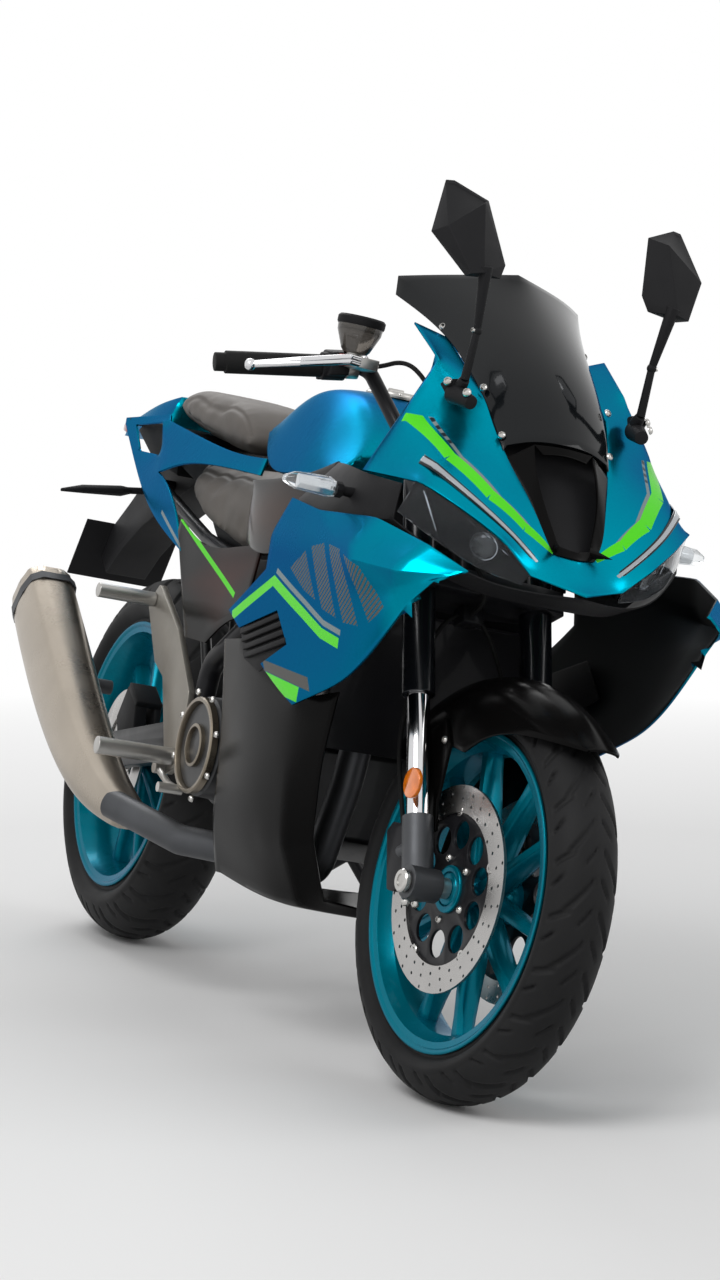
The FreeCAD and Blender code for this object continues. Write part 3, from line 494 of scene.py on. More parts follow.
def softened(name, bm, width=1.4, limit=30, segments=2):
    """Mesh of rigid forms with rounded edges."""
    bmesh.ops.recalc_face_normals(bm, faces=bm.faces)
    return bevelled(mesh_of(bm, name), width, limit, segments)


# Finishes

TEAL = (0.0, 0.31, 0.42)
# Deep teal mixed in where the paint turns away: partly the lacquer's flip colour, partly painted shade
TEAL_FLIP_SHADE = (0.0, 0.10, 0.19)
TEAL_SIDE_SHADE = (0.0, 0.13, 0.23)
TEAL_EDGE = {"Specular Tint": (0.0, 0.35, 0.6, 1)}
GREEN = (0.10, 0.72, 0.02)
STRIPE_GREY = (0.22, 0.26, 0.26)
GRAPHIC = (0.10, 0.095, 0.085)
BLACK = (0.0036, 0.0034, 0.0034)
DASH = (0.02, 0.025, 0.03)


def hatched(u, v, angle, pitch, share):
    """Fine parallel lines."""
    across = u * (math.cos(angle) / pitch) + v * (math.sin(angle) / pitch)
    return abs(across.math("FRACT") - 0.5).step(share / 2, 0.12).inverse()


# Side fairing, as (y, z) in millimetres
STRIPE_LONG = ((478, 612), (338, 676), (210, 640), (140, 618), (83, 610))
STRIPE_LOW = ((356, 536), (192, 524))
BLOCK_LOW = ((334, 560), (318, 545), (156, 533), (168, 552))
BLOCKS = (
    ((282, 700), (228, 728), (168, 662), (214, 672)), ((206, 736), (152, 744), (92, 644), (142, 652)),
    ((130, 744), (78, 740), (24, 640), (68, 640)), ((56, 734), (4, 722), (-44, 672), (-4, 648)))
PANEL = ((460, 736), (250, 738), (60, 728), (-40, 690), (-60, 520), (460, 470))


def facing_in(tree, x):
    """One on faces that look towards the centre plane."""
    sideways = (ROW.to_3x3() @ V((1, 0, 0))).normalized()
    normal = new_node(tree, "NewGeometry", {}).outputs["Normal"]
    along = new_node(tree, "VectorMath", {0: normal, 1: sideways}, operation="DOT_PRODUCT")
    return (Field(tree, along.outputs["Value"]) * x).step(-70, 30).inverse()


# Each layer: mask, colour, roughness and metal, or None to leave them
def side_layers(x, y, z):
    beside = path_mask(y, z, [(a - 6, b + 15) for a, b in STRIPE_LONG[1:]], 4.0)
    blocks = reduce(Field.most, [convex_mask(y, z, corners) for corners in BLOCKS])
    return [
        # Darker teal over the fairing's side with a soft edge: painted shade
        (convex_mask(y, z, PANEL, 40), TEAL_SIDE_SHADE, None, None),
        (blocks * hatched(y, z, 0.9, 6.5, 0.62), GRAPHIC, 0.42, 0.1),
        (beside, STRIPE_GREY, None, 0.2),
        (path_mask(y, z, STRIPE_LONG, 7.5), GREEN, None, 0.0),
        (line_mask(y, z, *STRIPE_LOW, 11.0), GREEN, None, 0.0),
        (convex_mask(y, z, BLOCK_LOW), GRAPHIC, 0.4, 0.1),
        (facing_in(x.tree, x), BLACK, 0.5, 0.0)]


# Seen from above, as distance from the centre plane and y, with half widths
NOSE_STRIPE = ((195, 119, 8.0), (165, 13, 9.5), (122, -50, 9.0), (77, -82, 6.0), (34, -95, 3.5))


def nose_layers(x, y, z):
    side = abs(x)
    deck = z.step(946, 1).inverse()
    green = reduce(Field.most, [line_mask(side, y, a[:2], b[:2], a[2], b[2])
                                for a, b in zip(NOSE_STRIPE, NOSE_STRIPE[1:])])
    inner = [(a - 18 + i * 1.5, b - 3) for i, (a, b, _) in enumerate(NOSE_STRIPE[:4])]
    grey = path_mask(side, y, inner, 2.6) * deck
    dashes = (y * (1 / 15.0)).math("FRACT").step(0.5, 0.1) * y.step(30, 1) * deck
    return [(grey, STRIPE_GREY, None, 0.2), (grey * dashes, DASH, None, 0.0),
            (green * deck, GREEN, None, 0.0)]


def tail_layers(x, y, z):
    middle = abs(abs(x) - 20.0).step(7.0, 0.6).inverse() * y.step(1430, 1) * z.step(880, 1)
    low = line_mask(y, z, (1006, 692), (1156, 742), 3.2)
    return [(middle, GREEN, None, 0.0), (low, STRIPE_GREY, None, 0.2)]


def panel_layers(x, y, z):
    stripe = line_mask(y, z, (706, 636), (1034, 738), 4.6)
    # Soft reddish patch on the black gloss: a painted reflection
    warm_reflection = convex_mask(y, z, [(640, 700), (800, 690), (900, 640), (760, 600)], 60) * 0.2
    return [(warm_reflection, (0.16, 0.03, 0.015), None, None), (stripe, GREEN, 0.3, None)]


def cover_layers(x, y, z):
    # Soft warm patch on the black gloss: a painted reflection
    warm_reflection = convex_mask(y, z, [(420, 800), (560, 812), (700, 770), (640, 735), (480, 735)], 50) * 0.12
    return [(warm_reflection, (0.20, 0.055, 0.012), None, None)]


# Per finish: slot, colour, roughness, metal, coat, patch scale, spread, grain scale, bump and specular level
SURFACES = {
    "paint": ("painted", TEAL, 0.27, 0.92, 0, 3, 0.08, 2600, 0.05, 0.12),
    "rim": ("teal_metal", (0, 0.17, 0.235), 0.26, 0.45, 0.08, 5, 0.12, 1800, 0.06, 0.15),
    "gloss": ("black_gloss", BLACK, 0.2, 0, 0, 4, 0.2, 1500, 0.03, 0.045),
    "gloss_panel": ("black_gloss", BLACK, 0.2, 0, 0, 4, 0.12, 1500, 0.03, 0.05),
    "gloss_cover": ("black_gloss", BLACK, 0.18, 0, 0, 4, 0.12, 1500, 0.03, 0.05),
    "matte": ("black_matte", (0.010, 0.010, 0.011), 0.6, 0, 0, 7, 0.2, 1400, 0.35, 0.12),
    "satin": ("black_metal", (0.012, 0.012, 0.014), 0.4, 0.1, 0.08, 9, 0.25, 1100, 0.2, 0.15),
    "fork_tube": ("black_metal", (0.008, 0.009, 0.012), 0.24, 0.2, 0.2, 9, 0.12, 1600, 0.06, 0.35),
    "rubber": ("rubber", (0.011, 0.011, 0.011), 0.66, 0, 0, 12, 0.2, 700, 0.4, 0.12),
    "cast": ("cast", (0.075, 0.078, 0.084), 0.46, 0.7, 0, 14, 0.18, 620, 0.5, 0.5),
    "engine": ("cast", (0.03, 0.031, 0.033), 0.44, 0.5, 0.1, 10, 0.25, 520, 0.5, 0.5),
    "cover_rim": ("cast", (0.20, 0.17, 0.13), 0.3, 0.9, 0.2, 10, 0.12, 900, 0.2, 0.5),
    "steel": ("steel", (0.40, 0.355, 0.30), 0.29, 1, 0, 7, 0.12, 260, 0.25, 0.5),
    "disc": ("steel", (0.42, 0.41, 0.40), 0.28, 1, 0, 9, 0.1, 420, 0.25, 0.5),
    "chrome": ("alloy", (0.66, 0.66, 0.67), 0.08, 1, 0, 8, 0.05, 900, 0.03, 0.5),
    "alloy": ("alloy", (0.44, 0.43, 0.41), 0.34, 0.9, 0, 12, 0.12, 700, 0.25, 0.5),
    "bolt": ("alloy", (0.5, 0.49, 0.47), 0.25, 1, 0, 40, 0.15, 1500, 0.15, 0.5),
    "chain": ("steel", (0.16, 0.15, 0.14), 0.42, 0.9, 0, 60, 0.3, 1200, 0.3, 0.5),
    "plate_alloy": ("alloy", (0.23, 0.215, 0.19), 0.42, 0.8, 0, 10, 0.15, 700, 0.3, 0.5),
    "tyre": ("tyre", (0.012, 0.012, 0.0125), 0.62, 0, 0, 9, 0.25, 480, 0.5, 0.15),
    "red": ("black_matte", (0.5, 0.012, 0.008), 0.35, 0, 0, 30, 0.1, 1500, 0.1, 0.5),
    "amber": ("amber", (0.85, 0.19, 0.004), 0.14, 0.1, 1, 60, 0.25, 800, 0.3, 0.5),
    "inner_white": ("chrome", (0.62, 0.64, 0.66), 0.12, 0.95, 0, 20, 0.08, 900, 0.05, 0.5),
    "light_strip": ("clear", (0.32, 0.35, 0.38), 0.2, 0, 1, 30, 0.06, 900, 0.1, 0.5),
    "mirror": ("black_matte", (0.75, 0.76, 0.78), 0.03, 1, 0, 5, 0.03, 900, 0.01, 0.5),
    "seat": ("seat", (0.088, 0.077, 0.068), 0.62, 0, 0, 16, 0.14, 1100, 0.55, 0.5),
    "red_lens": ("black_matte", (0.28, 0.006, 0.006), 0.15, 0, 1, 30, 0.2, 900, 0.1, 0.5),
    "smoke": ("black_gloss", (0.005, 0.006, 0.007), 0.12, 0, 0.2, 4, 0.2, 1200, 0.01, 0.12),
    "lens": ("clear", (0.92, 0.94, 0.95), 0.04, 0, 0, 30, 0.02, 600, 0.1, 0.5),
    "lamp_glass": ("smoked", (0.80, 0.83, 0.86), 0.03, 0, 0, 6, 0.04, 600, 0.01, 0.5),
    "cup": ("smoked", (0.10, 0.09, 0.08), 0.12, 0, 0, 20, 0.1, 900, 0.05, 0.5),
}
EXTRAS = {
    "paint": {"flip_and_painted_shade": TEAL_FLIP_SHADE, "more": TEAL_EDGE}, "rim": {"more": TEAL_EDGE},
    "gloss_panel": {"layers": panel_layers}, "gloss_cover": {"layers": cover_layers},
    "steel": {"stretch": (1, 14, 1)}, "disc": {"stretch": (8, 1, 1)}, "seat": {"depth": 0.0004},
    "lens": {"more": {"Transmission Weight": 0.94, "IOR": 1.45}},
    "lamp_glass": {"more": {"Transmission Weight": 0.98, "IOR": 1.1}},
    "cup": {"more": {"Transmission Weight": 0.5, "IOR": 1.45}},
}
for key, painted_layers in (("paint_side", side_layers), ("paint_nose", nose_layers),
                            ("paint_tail", tail_layers)):
    SURFACES[key] = SURFACES["paint"]
    EXTRAS[key] = {"layers": painted_layers, **EXTRAS["paint"]}
FINISH = {key: surface(key, *row[1:], **EXTRAS.get(key, {})) for key, row in SURFACES.items()}


# Light, floor and background

bpy.context.scene.view_settings.view_transform = "Standard"


def seen_ray(tree):
    """One where a ray comes from the camera, a mirror or a window."""
    path = new_node(tree, "LightPath", {})
    return reduce(Field.most, [Field(tree, path.outputs["Is %s Ray" % key]) for key in
                               ("Camera", "Glossy", "Transmission")])


def either(tree, share, first, second):
    """Shader between two shaders."""
    return new_node(tree, "MixShader", {0: share, 1: first.outputs[0], 2: second.outputs[0]}).outputs[0]


WORLD_LIGHT = 0.42


def make_world():
    world = bpy.data.worlds.new("studio")
    bpy.context.scene.world = world
    world.use_nodes = True
    tree = world.node_tree
    tree.nodes.clear()
    lit, shown = [new_node(tree, "Background", {"Color": (1, 1, 1, 1), "Strength": strength})
                  for strength in (WORLD_LIGHT, 1.0)]
    new_node(tree, "OutputWorld", {"Surface": either(tree, seen_ray(tree), lit, shown)})


def area_light(name, place, target, size, power):
    data = bpy.data.lights.new(name, "AREA")
    data.shape = "RECTANGLE"
    data.size, data.size_y = size
    data.energy = power
    lamp = new_object(name, data)
    lamp.location = place
    lamp.rotation_euler = (V(target) - V(place)).to_track_quat("-Z", "Y").to_euler()


FLOOR_HALF = 14.0
FLOOR_WHITE_FROM = 1.9
FLOOR_WHITE_AT = 4.2


def floor_material():
    """Pale matt floor that goes over into the white background away from the machine."""
    made, tree = new_material("floor")
    pale = feed(tree.nodes["Principled BSDF"], {"Base Color": (0.80, 0.80, 0.80, 1), "Roughness": 0.9})
    length = new_node(tree, "VectorMath", {0: on_object(tree)}, operation="LENGTH")
    far = (Field(tree, length.outputs["Value"]) - FLOOR_WHITE_FROM).math(
        "MULTIPLY", 1 / (FLOOR_WHITE_AT - FLOOR_WHITE_FROM), clamp=True)
    glow = new_node(tree, "Emission", {})
    feed(tree.nodes["Material Output"], {"Surface": either(tree, far * seen_ray(tree), pale, glow)})
    return made


make_world()
area_light("key", (-2.6, -2.2, 3.8), (0, 0, 0.5), (2.2, 2.2), 95)
area_light("fill", (3.0, -3.0, 2.6), (0, 0, 0.6), (2.4, 1.8), 35)
area_light("back", (0.4, 3.2, 3.4), (0, 0.2, 0.6), (2.4, 1.6), 60)

floor_mesh = bpy.data.meshes.new("floor")
floor_mesh.from_pydata([(a * FLOOR_HALF, b * FLOOR_HALF, 0) for a, b in ((-1, -1), (1, -1), (1, 1), (-1, 1))],
                       [], [(0, 1, 2, 3)])
floor = new_object("floor", floor_mesh)
floor_mesh.materials.append(floor_material())


# Wheels

FLANGE_RADIUS = 232.0
RIM_SEAT = 217.8
RIM_INNER = 210.8
RIM_WELL = 201.8
TYRE_AROUND = 840
TREAD_ACROSS = 46
SPOKE_PAIRS = 5
FIRST_PAIR = 41.5
WHEELS = {
    # tyre radius, crown radius, flange, half hub, axle, tread pitches
    "front": (298.0, 54.0, 45.0, 58.0, UPRIGHT_FRONT, 22),
    "rear": (317.0, 69.0, 58.0, 62.0, UPRIGHT_REAR, 24),
}


def ease(value, low, high):
    t = min(1.0, max(0.0, (value - low) / (high - low)))
    return t * t * (3 - 2 * t)


def groove(turn, across):
    """Depth of the tread's grooves, from 0 to 1, across from -1 to 1 and turn in pitches."""
    side = abs(across)
    phase = turn + (0.5 if across > 0 else 0.0)
    long_line = phase + 1.05 * side ** 0.8
    short_line = phase + 0.48 + 0.45 * side
    depth = 0.0
    for line, low, high, wide in (
            (long_line, 0.10, 0.66, 0.055), (short_line, 0.50, 0.93, 0.045),
            (long_line + 0.30, 0.74, 0.97, 0.03), (long_line + 0.52, 0.05, 0.30, 0.035)):
        off = abs((line % 1.0) - 0.5)
        inside = ease(side, low - 0.03, low + 0.03) * (1 - ease(side, high - 0.04, high + 0.04))
        depth = max(depth, inside * (1 - ease(off, wide, wide + 0.03)))
    return depth


def tyre(which):
    radius, crown, flange, _, centre, pitches = WHEELS[which]
    crown_in = crown * math.cos(math.pi / 16)
    middle = radius - crown
    bead = flange - 4.0
    section = []
    for i in range(TREAD_ACROSS + 1):
        across = -1 + 2 * i / TREAD_ACROSS
        lean = across * math.radians(74)
        section.append((crown_in * math.sin(lean), middle + crown_in * math.cos(lean), across))
    wall = [(1.0, 0.88, 0.4), (0.995, 0.70, 0.5), (0.985, 0.55, 0.0), (0.955, 0.40, 0.6), (0.92, 0.30, 0.0),
            (0.885, 0.22, 0.6), (0.86, 0.14, 0.0)]
    high = section[-1][1]
    side = []
    for wide, share, raised in wall:
        side.append((bead + (crown_in - bead) * (wide - 0.86) / 0.14 + raised * 0.3,
                     FLANGE_RADIUS + 1 + (high - FLANGE_RADIUS - 1) * share, 2.0))
    side += [(bead + 1.5, FLANGE_RADIUS + 1.5, 2.0), (bead, FLANGE_RADIUS - 2, 2.0),
             (bead, RIM_SEAT + 0.3, 2.0)]
    section = [(-x, r, s) for x, r, s in side[::-1]] + section + side
    verts, faces = [], []
    count = len(section)
    for i in range(TYRE_AROUND):
        turn = math.tau * i / TYRE_AROUND
        for x, r, across in section:
            depth = 3.2 * groove(i * pitches / TYRE_AROUND, across) if abs(across) <= 1 else 0.0
            verts.append((x * (1 - depth / crown), centre.y + (r - depth) * math.sin(turn),
                          centre.z + (r - depth) * math.cos(turn)))
    for i in range(TYRE_AROUND):
        a, b = i * count, (i + 1) % TYRE_AROUND * count
        for j in range(count - 1):
            faces.append((a + j, a + j + 1, b + j + 1, b + j))
        faces.append((a + count - 1, a, b, b + count - 1))
    mesh = bpy.data.meshes.new(which + "_tyre_tread")
    mesh.from_pydata(verts, [], faces)
    shaded(mesh, 60)
    added(which + "_tyre_tread", mesh, "tyre", which + "_wheel", replaced=(which + "_tyre",))


def around(x, centre, radius, turn):
    """Point at a radius and a clock angle about an axle, back from the top."""
    return V((x, centre.y + radius * math.sin(turn), centre.z + radius * math.cos(turn)))


SPOKE_EDGE = ((-1, -0.5), (-0.55, -0.97), (0.55, -0.97), (1, -0.5), (1, 0.5), (0.55, 0.97),
              (-0.55, 0.97), (-1, 0.5))


def spoke(bm, centre, hub_x, pair, side):
    """One tapered spoke with chamfered edges, bowed slightly outwards."""
    turns = [math.radians(FIRST_PAIR + 360 / SPOKE_PAIRS * pair + side * lean) for lean in (24.0, 15.0)]
    hub = around(0, centre, 24.0, -turns[0])
    end = around(0, centre, RIM_WELL + 3, -turns[1])
    across = V((1, 0, 0)).cross((end - hub).normalized())
    rows = []
    for share in (0.0, 0.12, 0.35, 0.6, 0.82, 0.94, 1.0):
        middle = hub.lerp(end, share)
        flare = 1.35 * ease(share, 0.8, 1.0) + 0.25 * (1 - ease(share, 0.0, 0.2))
        wide = 11.6 - 3.2 * share + 4.0 * flare
        deep = hub_x * (0.42 - 0.18 * share)
        rows.append([middle + across * (a * wide) + V((d * deep, 0, 0)) for a, d in SPOKE_EDGE])
    skin(bm, rows)


def rim(which):
    _, _, flange, hub_x, centre, _ = WHEELS[which]
    lip = flange - 3.5
    half = [(lip, RIM_SEAT)] + [(x, FLANGE_RADIUS - drop) for x, drop in (
        (lip, 3), (lip + 1, 0.6), (lip + 3, 0), (flange + 1.2, 0.3), (flange + 2, 1.5), (flange + 2, 4.5),
        (flange + 0.8, 7), (flange - 1, 9))]
    half += [(flange - 2, RIM_SEAT - 4), (flange * 0.74, RIM_INNER), (flange * 0.5, RIM_WELL)]
    bm = bmesh.new()
    lathe(bm, centre, (1, 0, 0), [(-x, r) for x, r in half] + half[::-1], 144, closed=True)
    hub = [(step - hub_x, r) for step, r in (
        (0, 10.05), (0, 22), (3, 24), (3, 24.5), (0, 25), (0, 33), (1, 34), (8, 34), (13, 31), (22, 28))]
    lathe(bm, centre, (1, 0, 0), hub + [(-x, r) for x, r in hub[::-1]], 64, closed=True)
    for pair in range(SPOKE_PAIRS):
        for side in (-1, 1):
            spoke(bm, centre, hub_x, pair, side)
    mesh = bevelled(finished(bm, which + "_cast_rim", 32), 1.6, 34, degrees=42)
    added(which + "_cast_rim", mesh, "rim", which + "_wheel", replaced=(which + "_rim",))


DISC_THICK = 4.5
DISC_SECTORS = 60
DISC_ROWS = 5


def drilled_disc(name, centre, radius, x, band):
    """Brake disc with slanted rows of small holes."""
    bm = bmesh.new()
    known = {}

    def node_at(i, j, k):
        key = (i % DISC_SECTORS, j, k)
        if key not in known:
            turn = math.tau * (i + 0.12 * j) / DISC_SECTORS
            reach = radius - band + j * band / DISC_ROWS
            known[key] = bm.verts.new(around(x + k * DISC_THICK, centre, reach, turn))
        return known[key]

    for i in range(DISC_SECTORS):
        for j in range(DISC_ROWS):
            drilled = (i + 2 * j) % 4 == 0
            rings = []
            for k in (0, 1):
                corners = [node_at(a, b, k) for a, b in ((i, j), (i + 1, j), (i + 1, j + 1), (i, j + 1))]
                if not drilled:
                    bm.faces.new(corners if k else corners[::-1])
                    continue
                middle = sum((v.co for v in corners), V((0, 0, 0))) / 4
                hole = []
                for s in range(8):
                    corner, after = corners[s // 2].co, corners[(s // 2 + 1) % 4].co
                    aim = (corner if s % 2 == 0 else (corner + after) / 2) - middle
                    hole.append(bm.verts.new(middle + aim.normalized() * 2.6))
                rings.append(hole)
                for s in range(4):
                    bm.faces.new([corners[s], corners[(s + 1) % 4], hole[(2 * s + 2) % 8], hole[2 * s + 1],
                                  hole[2 * s]][::1 if k else -1])
            if drilled:
                for s in range(8):
                    bm.faces.new((rings[0][s - 1], rings[0][s], rings[1][s], rings[1][s - 1]))
        for j in (0, DISC_ROWS):
            bm.faces.new((node_at(i, j, 0), node_at(i + 1, j, 0), node_at(i + 1, j, 1), node_at(i, j, 1)))
    put(name, bm, "disc", "front_wheel", replaced=("front_discs",), degrees=30)


def wheel_details():
    """Disc buttons, hub bolts and the valve stems."""
    for which, sides, base, reach in (("front", (-1, 1), 54.0, 111.5), ("rear", (-1,), 60.0, 76.0)):
        centre = WHEELS[which][4]
        bm = bmesh.new()
        for side in sides:
            for i in range(5):
                turn = math.tau * (i + 0.1) / 5
                lathe(bm, around(side * base, centre, reach, turn), (side, 0, 0),
                      [(-3, 8.5), (3.4, 8.5), (4.4, 7.6), (4.4, 4.2), (2.4, 3.6), (2.4, 0)], 20)
                button_bolt(bm, around(side * base, centre, 46, turn + 0.3), (side, 0, 0), 6.0, 3.6)
        foot = around(0, centre, 203, -math.radians(FIRST_PAIR + 36))
        lathe(bm, foot, (centre - foot).normalized(),
              [(-2, 6), (6, 6), (8, 4), (26, 3.6), (26, 4.6), (36, 4.6), (37, 3.4), (37, 0)], 14)
        put(which + "_wheel_fittings", bm, "bolt", which + "_wheel")


# Body panels, as rows of upright points on the rider's right

NOSE_INNER = (
    (-110, 216, 1068), (-98, 82, 988), (-92, 50, 950), (-80, 10, 908), (-58, -40, 863), (-45, -79, 819),
    (-32, -93, 788), (0, -110, 784))
NOSE_CREST = (
    (-156, 245, 1082), (-150, 147, 1033), (-206, 118, 942), (-176, 5, 896), (-132, -58, 852),
    (-84, -91, 811), (-40, -108, 775), (0, -136, 758))
NOSE_LOW = (
    (-156, 245, 1082), (-150, 147, 1033), (-238, 139, 856), (-212, -16, 852), (-168, -71, 826),
    (-112, -116, 790), (-72, -120, 753), (0, -156, 740))
RUNNING_LIGHT = (0.37, 0.50)
LIGHT_FRAME = (0.32, 0.56)
LIGHT_START = 0.74
SCREEN = (
    ((-153, 341, 1121), (-150, 352, 1150), (-98, 300, 1163), (0, 262, 1182)),
    ((-112, 222, 1076), (-110, 226, 1092), (-70, 200, 1112), (0, 180, 1122)),
    ((-99, 88, 994), (-94, 90, 1010), (-54, 78, 1030), (0, 70, 1038)),
    ((-84, 18, 918), (-80, 20, 926), (-46, 8, 940), (0, 0, 942)))
INTAKE = (
    ((-82, 11, 908), (-46, 2, 934), (0, -4, 938)), ((-61, -41, 863), (-50, -24, 900), (-50, -24, 900)),
    ((-48, -80, 818), (-42, -58, 852), (-42, -58, 852)),
    ((-34, -94, 788), (-24, -90, 800), (-24, -90, 800)), ((0, -111, 786), (0, -100, 796), (0, -100, 796)))
LAMP = ((-216, -1, 852), (-168, -69, 825), (-112, -113, 789), (-72, -117, 753))
LAMP_LOW = ((-224, 24, 806), (-176, -44, 770), (-128, -78, 746), (-76, -104, 738))
NOSE_INSIDE = (0, 180, 860)


def between(first, second, share):
    """Points a share of the way between two rows."""
    return [tuple(V(a).lerp(V(b), share)) for a, b in zip(first, second)]


def nose():
    panel("nose_shell", grid([NOSE_INNER, NOSE_CREST, NOSE_LOW]), NOSE_INSIDE, "paint_nose", ("nose_cowl",),
          soft=26, sharp=70)
    crest, low = [[tuple(V(row[2]).lerp(V(row[3]), LIGHT_START))] + list(row[3:7])
                  for row in (NOSE_CREST, NOSE_LOW)]
    for name, pair, step, thickness, finish in (
            ("light_frames", LIGHT_FRAME, (-0.6, -0.9, 0.7), 2.0, "smoke"),
            ("light_strips", RUNNING_LIGHT, (-1.2, -1.7, 1.4), 3.0, "light_strip")):
        rows = [[tuple(V(point) + V(step)) for point in between(crest, low, share)] for share in pair]
        panel(name, grid(rows), NOSE_INSIDE, finish, thickness=thickness)
    bridge = [[INTAKE[0][1], INTAKE[0][2], (0, -8, 928), (-34, -8, 922)]]
    panel("intake_surround", grid([row[:2] for row in INTAKE]) + bridge, (0, 120, 860), "gloss",
          ("nose_trim",), soft=20, sharp=60)


def windscreen():
    panel("screen_shell", grid(SCREEN), (0, 300, 950), "smoke", ("windscreen",), 3.0, slot="smoked", soft=30,
          sharp=70)
    bm = bmesh.new()
    for x, y, z in ((-100, 92, 997), (-86, 32, 934), (-116, 236, 1078)):
        for side in (1, -1):
            button_bolt(bm, (x * side, y - 3, z + 5), (-0.55 * side, -0.62, 0.56), 6.0, 3.4)
    put("screen_bolts", bm, "bolt")


LAMP_LINES = (((-204, -4, 838), (-182, -20, 786)), ((-160, -62, 812), (-104, -98, 772)))


def headlights():
    outward = V((-0.62, -0.68, -0.38)).normalized()
    panel("lamp_covers", grid([LAMP, LAMP_LOW]), (0, 120, 800), "lamp_glass", ("headlights",), 2.2, soft=30,
          sharp=80)
    bowl, bright, bulb = bmesh.new(), bmesh.new(), bmesh.new()
    outline = [V(p) for p in LAMP + LAMP_LOW[::-1]]
    middle = sum(outline, V((0, 0, 0))) / len(outline)
    for side in (1, -1):
        flip = Matrix.Diagonal((side, 1, 1))
        skin(bowl, [[flip @ (middle + (p - middle) * inset - outward * deep) for p in outline]
                    for inset, deep in ((0.985, 4.0), (0.95, 16.0), (0.82, 27.0))], first=False)
        eye = flip @ (V((-134, -80, 778)) - outward * 16)
        out = flip @ outward
        lathe(bowl, eye, out, [(-8, 22), (4, 24), (9, 24), (9.5, 22.5), (7, 20.5)], 36)
        lathe(bright, eye, out, [(4.5, 21.5), (8.6, 20.6), (8.8, 19.4), (4.5, 18.4)], 36, closed=True)
        lathe(bulb, eye, out, [(2, 18.6), (6, 17.6), (9.5, 14.5), (12, 10), (13.2, 5), (13.6, 0)], 36)
        for line in LAMP_LINES:
            start, end = [flip @ (V(point) - outward * 9) for point in line]
            bar(bright, start, end, 1.6, 1.0, 8)
    put("lamp_bowls", bowl, "smoke", degrees=40)
    put("lamp_rings", bright, "inner_white")
    put("lamp_eyes", bulb, "lens")


FAIRING_TOP = (
    (-186, -164, 744), (-226, -108, 769), (-255, 18, 793), (-262, 209, 789), (-252, 345, 800),
    (-250, 397, 751))
FAIRING_EDGE = (
    (-192, -164, 742), (-252, -102, 744), (-276, 42, 752), (-270, 140, 756), (-262, 266, 748),
    (-250, 397, 751))
FAIRING_BAND = (
    (-204, -158, 735), (-262, -100, 726), (-281, 26, 730), (-269, 140, 742), (-263, 262, 738),
    (-255, 392, 738))
FAIRING_MID = (
    (-222, -146, 725), (-246, -72, 702), (-258, 20, 680), (-262, 120, 670), (-262, 240, 690),
    (-258, 380, 690))
FAIRING_LOW = (
    (-232, -88, 684), (-240, 0, 612), (-244, 60, 580), (-250, 140, 600), (-258, 250, 620), (-260, 440, 650))
FAIRING_FOOT = (
    (-238, -8, 606), (-240, 58, 560), (-245, 130, 534), (-250, 205, 508), (-256, 300, 536),
    (-258, 498, 618))
VENT = ((445, 596), (306, 635), (253, 590), (354, 546), (414, 557))


def prism(bm, outline, x0, x1, sides=(1, -1)):
    """Plate along x over an outline of (y, z) points."""
    for side in sides:
        skin(bm, [[(side * x, y, z) for y, z in outline] for x in (x0, x1)])


def side_fairings():
    facets = grid([FAIRING_TOP, FAIRING_EDGE, FAIRING_BAND, FAIRING_MID, FAIRING_LOW, FAIRING_FOOT])
    mesh = panel_mesh("side_shell", facets, (0, 150, 650), 3.5, soft=6, sharp=22, most=1.0)
    bm = bmesh.new()
    prism(bm, VENT, 225, 300)
    bmesh.ops.recalc_face_normals(bm, faces=bm.faces)
    cutter = new_object("cutter", mesh_of(bm, "cutter"))
    mesh = with_modifiers(mesh, ("BOOLEAN", {"object": cutter, "operation": "DIFFERENCE", "solver": "EXACT"}))
    bpy.data.objects.remove(cutter)
    shaded(mesh)
    added("side_shells", mesh, "paint_side", replaced=("side_fairings",))


# y, low z, high z, low half width, high half width and corner radius
TANK = (
    (408, 850, 880, 160, 132, 12), (440, 842, 920, 176, 104, 24), (500, 836, 954, 180, 100, 34),
    (570, 832, 984, 180, 98, 40), (690, 826, 990, 168, 92, 40), (790, 858, 970, 142, 84, 30),
    (872, 900, 926, 104, 76, 10))


def station_rings(stations):
    """Rings of points from stations like the tank's."""
    rings = []
    for y, low, high, wide_low, wide_high, radius in stations:
        corners = [V((x, y, z)) for x, z in ((-wide_low, low), (wide_low, low), (wide_high, high),
                                             (-wide_high, high))]
        ring = []
        for i in range(4):
            before, here, after = corners[i - 1], corners[i], corners[(i + 1) % 4]
            a = here + (before - here).normalized() * radius
            b = here + (after - here).normalized() * radius
            ring += [a, here.lerp((a + b) / 2, 0.42), b]
        rings.append(ring)
    return rings


def tank():
    added("tank_shell", ring_mesh("tank_shell", station_rings(TANK), sharp=80, most=0.7), "paint",
          replaced=("fuel_tank",))
    cap, bolts = bmesh.new(), bmesh.new()
    lathe(cap, (0, 630, 984), (0, -0.03, 1),
          [(0, 46), (3, 46), (5, 44), (5, 36), (8, 35), (10, 33), (10, 0)], 48)
    bar(cap, (-12, 630, 993), (12, 630, 993), 5.0, sides=12)
    for i in range(7):
        button_bolt(bolts, V((0, 630, 989)) + circle(41, i / 7), (0, 0, 1), 3.4, 2.2)
    put("filler_cap", cap, "alloy")
    put("filler_bolts", bolts, "bolt")


